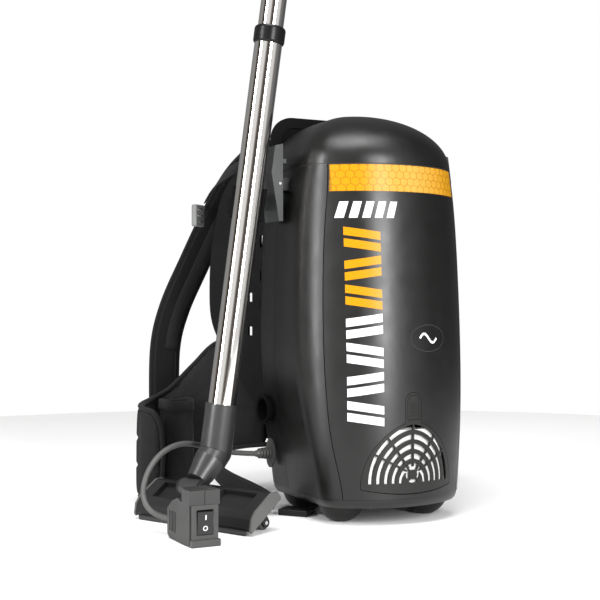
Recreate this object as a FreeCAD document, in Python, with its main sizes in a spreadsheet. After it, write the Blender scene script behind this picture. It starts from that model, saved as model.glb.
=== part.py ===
import FreeCAD, Part
import math
import os

import Sketcher
from FreeCAD import Placement, Rotation, Vector

# Backpack vacuum cleaner, in millimetres. +Z is up, the case's front panel faces -Y, the wearer is on +Y,
# and the wand is parked on the -X side. Everything is laid out about the case: X = 0 is its middle plane
# and Z = 0 the floor. The last step moves the whole machine to the middle of its own footprint.

os.makedirs("parts", exist_ok=True)
doc = FreeCAD.newDocument("backpack_vacuum")
sheet = doc.addObject("Spreadsheet::Sheet", "Sizes")

# ---------------------------------------------------------------------------- driving dimensions
SIZES = {
    # case
    "wall": 3.0, "seam_depth": 22.0, "seam_gap": 0.4, "rear_face": 90.0, "rear_corner": 20.0,
    "side_taper": 3.0, "tray_height": 11.6, "tray_inset": 6.0,
    "foot_radius": 34.0, "foot_height": 23.6, "foot_flat": 1.5, "foot_spread": 67.0,
    "foot_front": -60.0, "foot_rear": 45.0,
    # lid
    "lid_gap": 1.0, "lid_rise": 81.5, "lid_apex_depth": 25.0, "seal_width": 2.0, "seal_height": 0.7,
    # side latches
    "latch_width": 44.0, "latch_front": -10.0, "latch_wall": 5.0, "latch_pin_radius": 2.0,
    "latch_pin_side": 135.0, "latch_pin_height": 463.0, "running_gap": 0.05,
    # exhaust cover
    "grille_half_width": 70.0, "grille_foot": 50.0, "grille_sag": 7.0, "grille_rise": 89.0,
    "grille_gap": 0.6, "grille_slot": 4.8, "grille_pitch": 9.0, "grille_rib": 2.4,
    "tab_width": 17.0, "tab_foot": 141.6, "tab_top": 174.0, "tab_gap": 0.6, "tab_frame": 3.4,
    # inside
    "deck_height": 200.0, "deck_thickness": 4.0, "deck_hole": 40.0,
    "motor_radius": 58.0, "motor_height": 96.0, "motor_foot": 66.0, "motor_depth": -18.0,
    "motor_wall": 2.5, "shaft_radius": 4.0, "armature_radius": 30.0, "armature_height": 52.0,
    "bearing_radius": 11.0, "bearing_height": 7.0, "fan_radius": 50.0, "fan_height": 9.0,
    "mount_height": 9.0, "filter_radius": 52.0, "filter_thickness": 14.0,
    "bag_half_height": 110.0, "bag_half_width": 84.0, "bag_half_depth": 66.0,
    "port_bore": 16.0, "port_wall": 2.5, "port_length": 24.0, "port_height": 145.0, "port_depth": 60.0,
    "riser_radius": 16.0, "riser_wall": 2.0, "riser_side": 86.0, "riser_depth": 48.0,
    # wand
    "tube_radius": 19.0, "tube_bore": 17.6, "inner_tube_radius": 17.5, "inner_tube_bore": 16.3,
    "collar_radius": 21.5, "collar_length": 25.0, "neck_radius": 22.0,
    # floor head
    "head_length": 212.0, "head_tilt": 32.0, "head_turn": -65.2, "cap_thickness": 3.0,
    "knuckle_radius": 12.0, "knuckle_length": 32.0, "pivot_pin_radius": 4.0,
    "wheel_radius": 9.5, "wheel_width": 11.0, "wheel_axle_radius": 2.5,
    # remote switch
    "box_width": 38.0, "box_depth": 76.0, "box_height": 51.0, "block_height": 18.0, "block_depth": 26.0,
    "bezel_width": 35.0, "bezel_height": 42.0, "bezel_depth": 4.0,
    "rocker_width": 21.0, "rocker_height": 29.0, "rocker_depth": 7.0, "rocker_lean": 7.0,
    # remote lead
    "lead_diameter": 7.5, "gland_length": 22.0, "gland_radius": 7.0,
    # carrying frame and harness
    "frame_thickness": 5.0, "frame_front": 91.0, "frame_half_width": 100.0, "frame_top": 573.0,
    "frame_foot": 110.0, "wing_reach": 101.0, "wing_turn": 127.8, "wing_rim": 5.0,
    "strap_width": 50.0, "strap_thickness": 11.0, "webbing_width": 26.0, "webbing_thickness": 2.0,
    "belt_width": 38.0, "hip_thickness": 14.0, "back_pad_thickness": 16.0,
}
# Outline of the case at six heights: height, half width, front radius, front centre, corner radius.
CASE_LEVELS = [
    (36.0, 108.0, 146.0, 9.0, 47.0),
    (100.0, 117.0, 147.0, 8.5, 53.0),
    (168.0, 125.0, 148.0, 9.5, 65.0),
    (300.0, 129.0, 148.0, 14.5, 76.0),
    (420.0, 124.0, 143.0, 16.5, 75.0),
    (484.5, 115.0, 137.0, 18.0, 60.0),
]
LEVEL_WORDS = ("height", "half_width", "front_radius", "front_centre", "corner_radius")
for level_number, level in enumerate(CASE_LEVELS):
    for word, number in zip(LEVEL_WORDS, level):
        SIZES["level_" + "abcdef"[level_number] + "_" + word] = number

for row, (alias, number) in enumerate(SIZES.items(), 1):
    sheet.set(f"A{row}", alias)
    sheet.set(f"B{row}", str(number))
    sheet.setAlias(f"B{row}", alias)
doc.recompute()


def size(alias):
    """A driving dimension, read from the sheet."""
    return float(sheet.get(alias))


nodes = {}


def keep(node, item):
    """Registers a finished sub-part under the name of its file."""
    item.Label = node
    nodes[node] = item
    return item


def shaped(node, shape):
    """A sub-part whose outline is freeform, so its shape is worked out here."""
    item = doc.addObject("Part::Feature", node)
    item.Shape = shape.removeSplitter()
    return keep(node, item)


def solid(kind, name, place=(0, 0, 0), turn=None, **formulas):
    """A Part primitive with its sizes bound to the sheet."""
    item = doc.addObject("Part::" + kind, name)
    for prop, formula in formulas.items():
        item.setExpression(prop, formula)
    item.Placement = Placement(Vector(*place), turn or Rotation())
    return item


def boolean(kind, name, base, tool):
    item = doc.addObject("Part::" + kind, name)
    item.Base = base
    item.Tool = tool
    return item


def fused(name, *items):
    item = doc.addObject("Part::MultiFuse", name)
    item.Shapes = list(items)
    return item


# ---------------------------------------------------------------------------- sketched bodies
def body_with_sketch(name, role):
    body = doc.addObject("PartDesign::Body", name)
    plane = [p for p in body.Origin.OriginFeatures if p.Role == role][0]
    sketch = body.newObject("Sketcher::SketchObject", name + "_sketch")
    sketch.AttachmentSupport = [(plane, "")]
    sketch.MapMode = "FlatFace"
    return body, sketch


def draw_circle(sketch, radius):
    """A circle about the sketch's origin; radius is an expression."""
    circle = sketch.addGeometry(Part.Circle(Vector(0, 0, 0), Vector(0, 0, 1), 10), False)
    sketch.addConstraint(Sketcher.Constraint("Coincident", circle, 3, -1, 1))
    limit = sketch.addConstraint(Sketcher.Constraint("Radius", circle, 10))
    sketch.setExpression(f"Constraints[{limit}]", radius)


def draw_rectangle(sketch, width, depth):
    """A rectangle centred on the sketch's origin; width and depth are expressions."""
    corners = [Vector(-10, -5, 0), Vector(10, -5, 0), Vector(10, 5, 0), Vector(-10, 5, 0)]
    sides = []
    for start, end in zip(corners, corners[1:] + corners[:1]):
        sides.append(sketch.addGeometry(Part.LineSegment(start, end), False))
    for side, following in zip(sides, sides[1:] + sides[:1]):
        sketch.addConstraint(Sketcher.Constraint("Coincident", side, 2, following, 1))
    for side, direction in zip(sides, ("Horizontal", "Vertical", "Horizontal", "Vertical")):
        sketch.addConstraint(Sketcher.Constraint(direction, side))
    sketch.addConstraint(Sketcher.Constraint("Symmetric", sides[0], 1, sides[2], 1, -1, 1))
    across = sketch.addConstraint(Sketcher.Constraint("DistanceX", sides[0], 1, sides[0], 2, 20))
    sketch.setExpression(f"Constraints[{across}]", width)
    along = sketch.addConstraint(Sketcher.Constraint("DistanceY", sides[1], 1, sides[1], 2, 10))
    sketch.setExpression(f"Constraints[{along}]", depth)


def padded(name, height, circles=(), rectangles=(), fillet=None, role="XY_Plane"):
    """A body padded from one sketch of circles or rectangles, with its rims rounded if fillet is given."""
    body, sketch = body_with_sketch(name, role)
    for radius in circles:
        draw_circle(sketch, radius)
    for width, depth in rectangles:
        draw_rectangle(sketch, width, depth)
    pad = body.newObject("PartDesign::Pad", name + "_pad")
    pad.Profile = sketch
    pad.setExpression("Length", height)
    if fillet:
        doc.recompute()
        rounding = body.newObject("PartDesign::Fillet", name + "_rounding")
        rounding.Base = (pad, ["Face%d" % number for number in end_faces(pad.Shape)])
        rounding.setExpression("Radius", fillet)
    return body


def end_faces(shape):
    """Numbers of the two flat end faces of a padded shape."""
    heights = [face.CenterOfMass.z for face in shape.Faces]
    spans = [face.BoundBox.ZLength for face in shape.Faces]
    flat = [n for n, span in enumerate(spans) if span < 1e-6]
    return [n + 1 for n in flat if heights[n] in (min(heights), max(heights))]


# ---------------------------------------------------------------------------- freeform helpers
def arc(start, middle, end):
    return Part.Arc(start, middle, end).toShape()


def line(start, end):
    return Part.LineSegment(start, end).toShape()


def loft(wires):
    return Part.makeLoft(wires, True, False)


def polygon_face(points):
    return Part.Face(Part.makePolygon(list(points) + [points[0]]))


def case_level(height):
    """The case's outline values at a height, between the stated levels."""
    rows = [[size(f"level_{letter}_{word}") for word in LEVEL_WORDS] for letter in "abcdef"]
    for lower, upper in zip(rows, rows[1:]):
        if height <= upper[0]:
            share = (height - lower[0]) / (upper[0] - lower[0])
            return [height] + [a + share * (b - a) for a, b in zip(lower[1:], upper[1:])]
    return rows[-1]


def crease_angle(level):
    """Angle from straight ahead at which the front arc passes into the corner arc."""
    half_width, front_radius, corner_radius = level[1], level[2], level[4]
    return math.asin((half_width - corner_radius) / (front_radius - corner_radius))


def case_outline(level, inset=0.0, scale=1.0, height=None):
    """Closed outline of the case: front arc, corner arcs, side walls, rear corner arcs and rear wall."""
    z = level[0] if height is None else height
    half_width, front_radius, front_centre, corner_radius = level[1:]
    apex = size("lid_apex_depth")
    turn = crease_angle(level)
    corner_x = half_width - corner_radius
    corner_y = front_centre - (front_radius - corner_radius) * math.cos(turn)
    rear_radius = size("rear_corner")
    rear_x = half_width - size("side_taper") - rear_radius
    rear_y = size("rear_face") - rear_radius

    def point(x, y):
        return Vector(x * scale, apex + (y - apex) * scale, z)

    def around(x, y, radius, angle):
        return x + radius * math.sin(angle), y - radius * math.cos(angle)

    right = math.pi / 2
    half = []
    half.append(around(0, front_centre, front_radius - inset, turn))
    half.append(around(corner_x, corner_y, corner_radius - inset, (turn + right) / 2))
    half.append(around(corner_x, corner_y, corner_radius - inset, right))
    half.append(around(rear_x, rear_y, rear_radius - inset, right))
    half.append(around(rear_x, rear_y, rear_radius - inset, 1.5 * right))
    half.append(around(rear_x, rear_y, rear_radius - inset, 2 * right))
    east = [point(x, y) for x, y in half]
    west = [point(-x, y) for x, y in half]
    front = point(0, front_centre - front_radius + inset)
    return Part.Wire([
        arc(west[0], front, east[0]), arc(east[0], east[1], east[2]), line(east[2], east[3]),
        arc(east[3], east[4], east[5]), line(east[5], west[5]), arc(west[5], west[4], west[3]),
        line(west[3], west[2]), arc(west[2], west[1], west[0]),
    ])


def case_levels():
    return [case_level(size(f"level_{letter}_height")) for letter in "abcdef"]


def front_block(margin):
    """The space in front between the two creases, widened by margin."""
    levels = case_levels()
    side = []
    for level in levels:
        side.append((level[2] * math.sin(crease_angle(level)) + margin, level[0]))
    side = [(side[0][0], side[0][1] - 20)] + side + [(side[-1][0], side[-1][1] + 20)]
    front_y = -220.0
    east = Part.BSplineCurve()
    east.interpolate([Vector(x, front_y, z) for x, z in side])
    west = Part.BSplineCurve()
    west.interpolate([Vector(-x, front_y, z) for x, z in reversed(side)])
    corner_a, corner_b = side[-1], side[0]
    wire = Part.Wire([
        east.toShape(),
        line(Vector(corner_a[0], front_y, corner_a[1]), Vector(-corner_a[0], front_y, corner_a[1])),
        west.toShape(),
        line(Vector(-corner_b[0], front_y, corner_b[1]), Vector(corner_b[0], front_y, corner_b[1])),
    ])
    return Part.Face(wire).extrude(Vector(0, 180, 0))


def slab(low, high):
    """A box between two corners."""
    low, high = Vector(*low), Vector(*high)
    return Part.makeBox(high.x - low.x, high.y - low.y, high.z - low.z, low)


def rounded_slab(low, high, radius):
    block = slab(low, high)
    return block.makeFillet(radius, block.Edges)


def along(points_xz, front, depth):
    """A profile drawn in XZ and drawn out along +Y."""
    return polygon_face([Vector(x, front, z) for x, z in points_xz]).extrude(Vector(0, depth, 0))


def band(path, faces, width, thickness):
    """A flat strap through the points of path; faces holds the direction its flat side faces at each."""
    wires = []
    for number, (here, face) in enumerate(zip(path, faces)):
        before = Vector(*path[max(number - 1, 0)])
        after = Vector(*path[min(number + 1, len(path) - 1)])
        forward = (after - before).normalize()
        out = Vector(*face)
        out = (out - forward * out.dot(forward)).normalize()
        side = forward.cross(out)
        corners = []
        for u, v in ((-1, -1), (1, -1), (1, 1), (-1, 1)):
            corners.append(Vector(*here) + side * (u * width / 2) + out * (v * thickness / 2))
        wires.append(Part.makePolygon(corners + [corners[0]]))
    return loft(wires)


def mirrored(shape):
    return shape.mirror(Vector(0, 0, 0), Vector(1, 0, 0))


# ---------------------------------------------------------------------------- case
wall = size("wall")
case_outer = loft([case_outline(level) for level in case_levels()])
case_inner = loft([case_outline(level, inset=wall) for level in case_levels()])
case_wall = case_outer.cut(case_inner)
seam = size("seam_depth")
gap = size("seam_gap")
everywhere = 400.0
ahead = slab((-everywhere, -everywhere, 0), (everywhere, seam - gap / 2, 700))
behind = slab((-everywhere, seam + gap / 2, 0), (everywhere, everywhere, 700))


def arch_outline(margin=0.0, scale=1.0, foot=None):
    """Gothic arch of the exhaust cover, seen from the front; margin widens it all round."""
    half = size("grille_half_width") * scale + margin
    base = size("grille_foot") if foot is None else foot
    rise = size("grille_rise") * scale + margin
    sag = size("grille_sag") + margin
    front_y = -220.0
    shoulder = 0.36
    left, right = Vector(-half, front_y, base - margin), Vector(half, front_y, base - margin)
    top = Vector(0, front_y, base + rise)
    curve_left, curve_right = Part.BezierCurve(), Part.BezierCurve()
    lean = half * shoulder
    curve_right.setPoles([right, Vector(half * 1.04, front_y, base + rise * 0.55),
                          Vector(lean * 1.3, front_y, base + rise * 0.97), top])
    curve_left.setPoles([top, Vector(-lean * 1.3, front_y, base + rise * 0.97),
                         Vector(-half * 1.04, front_y, base + rise * 0.55), left])
    bottom = arc(left, Vector(0, front_y, base - margin - sag), right) if foot is None else line(left, right)
    return Part.Face(Part.Wire([curve_right.toShape(), curve_left.toShape(), bottom]))


def stadium(half_width, foot, top, front_y=-220.0):
    """Upright slot with a round top, seen from the front."""
    start, end = Vector(half_width, front_y, foot), Vector(-half_width, front_y, foot)
    left, right = Vector(-half_width, front_y, top - half_width), Vector(half_width, front_y, top - half_width)
    crown = Vector(0, front_y, top)
    return Part.Face(Part.Wire([line(start, right), arc(right, crown, left), line(left, end), line(end, start)]))


def tongue(margin, foot=120.0):
    """The space of the spring tab, widened all round by margin and drawn down to foot."""
    outline = stadium(size("tab_width") / 2 + margin, foot, size("tab_top") + margin)
    return outline.extrude(Vector(0, 180, 0))


def make_case(bracket):
    arch = arch_outline(size("grille_gap")).extrude(Vector(0, 180, 0))
    recess = tongue(size("tab_frame") + size("grille_gap"))
    panel = case_wall.common(front_block(-gap)).cut(arch).cut(recess)
    sides = case_wall.common(ahead).cut(front_block(gap)).fuse([bracket, mirrored(bracket)])
    rear = case_wall.common(behind)
    port_hole = size("port_bore") + size("port_wall") + 0.3
    centre = Vector(-150, size("port_depth"), size("port_height"))
    rear = rear.cut(Part.makeCylinder(port_hole, 60, centre, Vector(1, 0, 0)))
    shaped("side_shell", sides)
    shaped("front_panel", panel)
    shaped("rear_housing", rear)
    base = case_levels()[0]
    top_z = size("level_a_height") - 0.4
    tray = loft([
        case_outline(base, inset=size("tray_inset"), height=top_z - size("tray_height")),
        case_outline(base, inset=1.5, height=top_z - 4),
        case_outline(base, inset=1.0, height=top_z),
    ])
    shaped("base_tray", tray)


def grouped(node, items):
    """Several like pieces that share one node and stay separate solids."""
    group = doc.addObject("Part::Compound", node)
    group.Links = items
    return keep(node, group)


def make_feet():
    """Four moulded domes under the tray, each with a small flat to stand on."""
    domes = []
    for depth in ("foot_front", "foot_rear"):
        for side, word in ((-1, "left"), (1, "right")):
            name = f"{depth}_{word}"
            centre = (side * size("foot_spread"), size(depth), size("foot_radius") - size("foot_flat"))
            ball = solid("Sphere", name + "_ball", centre, Radius="Sizes.foot_radius")
            corner = (centre[0] - 40, centre[1] - 40, 0)
            block = solid("Box", name + "_block", corner, Length="80", Width="80", Height="Sizes.foot_height")
            domes.append(boolean("Common", name, ball, block))
    grouped("feet", domes)


def make_lid():
    """Dome that closes the bag chamber, and the gasket it sits on."""
    top = case_levels()[-1]
    foot = top[0] + size("lid_gap")

    def dome(inset, rise):
        wires = []
        for share in (0.0, 0.19, 0.38, 0.55, 0.7, 0.83, 0.93, 0.985):
            scale = math.sqrt(1 - share ** 2)
            wires.append(case_outline(top, inset=inset, scale=scale, height=foot + share * rise))
        return loft(wires)

    rise = size("lid_rise")
    shaped("top_lid", dome(0.0, rise).cut(dome(wall, rise - wall)))
    rise_of_seal = Vector(0, 0, size("seal_height"))
    outside, inside = [
        Part.Face(case_outline(top, inset=inset, height=top[0] + 0.1)).extrude(rise_of_seal)
        for inset in (0.5, 0.5 + size("seal_width"))
    ]
    shaped("lid_seal", outside.cut(inside))


def make_latches():
    """Rocking clips on both sides that hold the lid, and their pins; returns the bracket of the right one."""
    pin_x, pin_z = size("latch_pin_side"), size("latch_pin_height")
    pin_radius = size("latch_pin_radius")
    front, width, side_wall = size("latch_front"), size("latch_width"), size("latch_wall")
    outside = [(131, 411), (137, 411), (148.5, 477), (143, 515), (131, 518)]
    hollow = [(120, 421), (134, 421), (144, 477), (139, 508), (120, 508)]
    clip = along(outside, front, width)
    clip = clip.cut(along(hollow, front + side_wall, width - 2 * side_wall))
    clip = clip.fuse(slab((126, front, 491), (131.5, front + width, 497)))
    clip = clip.cut(Part.makeCylinder(pin_radius + size("running_gap"), width + 2,
                                      Vector(pin_x, front - 1, pin_z), Vector(0, 1, 0)))
    bracket = slab((100, front + side_wall + 1, 454), (138.5, front + width - side_wall - 1, 472))
    bracket = bracket.cut(case_outer)
    bore = Part.makeCylinder(pin_radius, width, Vector(pin_x, front, pin_z), Vector(0, 1, 0))
    bracket = bracket.cut(bore)
    shaped("latch_right", clip)
    shaped("latch_left", mirrored(clip))
    pins = []
    for side, word in ((-1, "left"), (1, "right")):
        pins.append(solid("Cylinder", f"latch_pin_{word}", (side * pin_x, front + 0.5, pin_z),
                          Rotation(Vector(1, 0, 0), -90), Radius="Sizes.latch_pin_radius",
                          Height="Sizes.latch_width - 1"))
    grouped("latch_pins", pins)
    return bracket


def make_exhaust():
    """Slotted exhaust cover that follows the front panel, the spring tab in its tongue, and the filter."""
    cover = case_wall.common(arch_outline().extrude(Vector(0, 180, 0)).fuse(tongue(size("tab_frame"))))
    cover = cover.cut(tongue(size("tab_gap"), size("tab_foot") - size("tab_gap")))
    foot, centre_z = 57.0, 68.0
    slots = []
    for row_number in range(5):
        outer = 0.88 - row_number * size("grille_pitch") / 62
        inner = outer - size("grille_slot") / 62
        ring = arch_outline(scale=outer, foot=foot).cut(arch_outline(scale=inner, foot=foot))
        slots.append(ring.extrude(Vector(0, 180, 0)))
    rib = size("grille_rib")
    ribs = []
    for angle in (-62, -36, 0, 36, 62):
        bar = slab((-rib / 2, -220, 0), (rib / 2, -40, 120))
        bar.Placement = Placement(Vector(0, 0, centre_z), Rotation(Vector(0, 1, 0), angle))
        ribs.append(bar)
    for slot in slots:
        cover = cover.cut(slot.cut(ribs))
    disc = Part.makeCylinder(11, 180, Vector(0, -220, centre_z), Vector(0, 1, 0))
    disc = disc.cut(Part.makeCylinder(6.5, 180, Vector(0, -220, centre_z), Vector(0, 1, 0)))
    for angle in (45, 135):
        bar = slab((-1.5, -221, -20), (1.5, -39, 20))
        bar.Placement = Placement(Vector(0, 0, centre_z), Rotation(Vector(0, 1, 0), angle))
        disc = disc.cut(bar)
    shaped("exhaust_cover", cover.cut(disc))
    shaped("cover_tab", tongue(0, size("tab_foot")).common(case_wall))
    cassette = slab((-62, -112, 50), (62, -100, 128))
    shaped("exhaust_filter", cassette)


def make_inside():
    """Motor, fan, filters, bag and the ducting between them."""
    deck_z, deck_t = size("deck_height"), size("deck_thickness")
    level = case_level(deck_z)
    riser_x, riser_y = -size("riser_side"), size("riser_depth")
    riser_r = size("riser_radius")
    motor_y = size("motor_depth")
    deck = Part.Face(case_outline(level, inset=wall + 4, height=deck_z)).extrude(Vector(0, 0, deck_t))
    deck = deck.cut(Part.makeCylinder(size("deck_hole"), 20, Vector(0, motor_y, deck_z - 5)))
    deck = deck.cut(Part.makeCylinder(riser_r + 0.5, 20, Vector(riser_x, riser_y, deck_z - 5)))
    shaped("motor_deck", deck)

    port_z, port_y = size("port_height"), size("port_depth")
    bore, rim = size("port_bore"), size("port_bore") + size("port_wall")
    inward = Vector(1, 0, 0)
    mouth = Vector(-130, port_y, port_z)
    port = Part.makeCylinder(rim, size("port_length"), mouth, inward)
    port = port.fuse(Part.makeCylinder(rim + 3, 3, mouth, inward))
    port = port.cut(Part.makeCylinder(bore, size("port_length") + 2, mouth - inward, inward))
    shaped("hose_port", port)
    riser = Part.makeCylinder(riser_r, 95, Vector(riser_x, riser_y, port_z - 20))
    riser_foot = Vector(riser_x, riser_y, port_z - 18)
    riser = riser.cut(Part.makeCylinder(riser_r - size("riser_wall"), 94, riser_foot))
    riser = riser.cut(Part.makeCylinder(rim + 0.5, 40, Vector(riser_x - 40, port_y, port_z), inward))
    shaped("riser_duct", riser)

    motor_z = size("motor_foot")
    can_circles = ["Sizes.motor_radius", "Sizes.motor_radius - Sizes.motor_wall"]
    can = padded("motor_can", "Sizes.motor_height", can_circles)
    can.Placement = Placement(Vector(0, motor_y, motor_z), Rotation())
    keep("motor_can", can)
    ring = padded("motor_mount", "Sizes.mount_height", ["Sizes.motor_radius + 4", "Sizes.motor_radius - 12"])
    ring.Placement = Placement(Vector(0, motor_y, motor_z - size("mount_height") - 0.1), Rotation())
    keep("motor_mount", ring)
    bearings = []
    for word, height in (("lower", motor_z + 6), ("upper", motor_z + 74)):
        bearing = padded(f"motor_bearing_{word}", "Sizes.bearing_height",
                         ["Sizes.bearing_radius", "Sizes.shaft_radius + Sizes.running_gap"])
        bearing.Placement = Placement(Vector(0, motor_y, height), Rotation())
        bearings.append(bearing)
    grouped("motor_bearings", bearings)
    shaft = solid("Cylinder", "shaft_core", (0, motor_y, motor_z + 2),
                  Radius="Sizes.shaft_radius", Height="90")
    core = solid("Cylinder", "armature_core", (0, motor_y, motor_z + 18), Radius="Sizes.armature_radius",
                 Height="Sizes.armature_height")
    keep("armature", fused("armature", shaft, core))
    fan = padded("fan_impeller", "Sizes.fan_height", ["Sizes.fan_radius", "Sizes.shaft_radius"], fillet="1.5")
    fan.Placement = Placement(Vector(0, motor_y, motor_z + 82.5), Rotation())
    keep("fan_impeller", fan)
    screen = padded("motor_filter", "Sizes.filter_thickness", ["Sizes.filter_radius"], fillet="3")
    screen.Placement = Placement(Vector(0, motor_y, deck_z + deck_t + 0.2), Rotation())
    keep("motor_filter", screen)

    bag = solid("Ellipsoid", "dust_bag", (0, -22, 345), Radius1="Sizes.bag_half_height",
                Radius2="Sizes.bag_half_width", Radius3="Sizes.bag_half_depth")
    keep("dust_bag", bag)
    plate = padded("bag_collar", "4", rectangles=[("96", "70")])
    plate.Placement = Placement(Vector(0, -22, 456), Rotation())
    keep("bag_collar", plate)


# ---------------------------------------------------------------------------- wand
WAND_FOOT = Vector(-215.2, 6.4, 164.9)
WAND_LEAN = Vector(54.6, -23.4, 460.0)
wand_axis = Vector(WAND_LEAN).normalize()
wand_turn = Rotation(Vector(0, 0, 1), wand_axis)


def on_wand(height):
    """The point of the wand's axis at a height above the floor."""
    return WAND_FOOT + WAND_LEAN * ((height - WAND_FOOT.z) / WAND_LEAN.z)


def make_wand():
    tube = padded("wand_outer_tube", "520", ["Sizes.tube_radius", "Sizes.tube_bore"])
    tube.Placement = Placement(on_wand(138), wand_turn)
    keep("wand_outer_tube", tube)
    inner = padded("wand_inner_tube", "520", ["Sizes.inner_tube_radius", "Sizes.inner_tube_bore"])
    inner.Placement = Placement(on_wand(214), wand_turn)
    keep("wand_inner_tube", inner)
    collar_foot = on_wand(650)
    tube_end = on_wand(138) + wand_axis * 520
    collar = Part.makeCylinder(size("collar_radius"), size("collar_length"), collar_foot, wand_axis)
    collar = collar.makeFillet(5, [edge for edge in collar.Edges if edge.Closed])
    below_collar = collar_foot - wand_axis
    collar = collar.cut(Part.makeCylinder(size("inner_tube_radius") + 0.1, 60, below_collar, wand_axis))
    seat = (tube_end - collar_foot).Length + 0.1
    collar = collar.cut(Part.makeCylinder(size("tube_radius") + 0.02, seat + 1, below_collar, wand_axis))
    shaped("wand_collar", collar)

    clip_foot = on_wand(412)
    ring = Part.makeCylinder(24, 44, clip_foot, wand_axis)
    ring = ring.fuse(slab((-188, 4, 425), (-177, 52, 445)))
    ring = ring.fuse(slab((-188, 42, 425), (-90, 52, 445)))
    ring = ring.cut(Part.makeCylinder(size("tube_radius") + 0.3, 80, on_wand(400), wand_axis))
    mouth = slab((-60, -40, -10), (2, 40, 70))
    mouth.Placement = Placement(on_wand(412), Rotation(Vector(0, 0, 1), 55))
    shaped("wand_clip", ring.cut(mouth).cut(case_outer))


# The angled swivel below the wand: the joint plane halves the angle between neck and elbow.
SWIVEL = on_wand(95)
HEAD_ORIGIN = Vector(-312.4, 80.9, 3.0)
PIVOT_LOCAL = Vector(98, 34, 35)
head_place = Placement(HEAD_ORIGIN, Rotation(Vector(0, 0, 1), size("head_turn"))
                       * Rotation(Vector(1, 0, 0), size("head_tilt")))
PIVOT = head_place.multVec(PIVOT_LOCAL)
elbow_axis = (PIVOT - SWIVEL).normalize()
swivel_normal = (elbow_axis - wand_axis).normalize()


def half_space(point, direction):
    """A large block on the side of the plane that direction points to."""
    block = slab((-200, -200, 0), (200, 200, 200))
    block.Placement = Placement(point, Rotation(Vector(0, 0, 1), direction))
    return block


def make_neck():
    radius = size("neck_radius")
    neck = Part.makeCylinder(radius, 99, on_wand(62), wand_axis)
    neck = neck.cut(Part.makeCylinder(size("tube_radius") + 0.02, 100, on_wand(137.9), wand_axis))
    neck = neck.cut(Part.makeCylinder(16, 200, on_wand(40), wand_axis))
    neck = neck.cut(half_space(SWIVEL - swivel_normal * 0.2, swivel_normal))
    shaped("neck_socket", neck)

    reach = (PIVOT - SWIVEL).Length
    elbow = Part.makeCylinder(radius, 46, SWIVEL - elbow_axis * 30, elbow_axis)
    elbow = elbow.fuse(Part.makeCone(radius, 15.5, reach - 28, SWIVEL + elbow_axis * 16, elbow_axis))
    hollow = Part.makeCylinder(16, 40, SWIVEL - elbow_axis * 30, elbow_axis)
    elbow = elbow.cut(hollow).cut(half_space(SWIVEL + swivel_normal * 0.2, -swivel_normal))
    along_head = head_place.Rotation.multVec(Vector(1, 0, 0))
    knuckle_start = PIVOT - along_head * (size("knuckle_length") / 2)
    knuckle = Part.makeCylinder(size("knuckle_radius"), size("knuckle_length"), knuckle_start, along_head)
    elbow = elbow.fuse(knuckle)
    elbow = elbow.cut(Part.makeCylinder(size("pivot_pin_radius") + size("running_gap"), 80,
                                        PIVOT - along_head * 40, along_head))
    shaped("elbow", elbow)


def head_profile(grow=0.0):
    """Cross-section of the floor head, front to back."""
    points = [(0, 3), (0, 8), (9, 16), (20, 20), (56, 20), (66, 14), (69, 6), (66, 3)]
    middle_y, middle_z = 34.0, 11.0
    grown = []
    for y, z in points:
        grown.append((y + grow * math.copysign(1, y - middle_y), z + grow * math.copysign(1, z - middle_z)))
    return grown


def head_prism(profile, start, length):
    face = polygon_face([Vector(start, y, z) for y, z in profile])
    return face.extrude(Vector(length, 0, 0))


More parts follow.
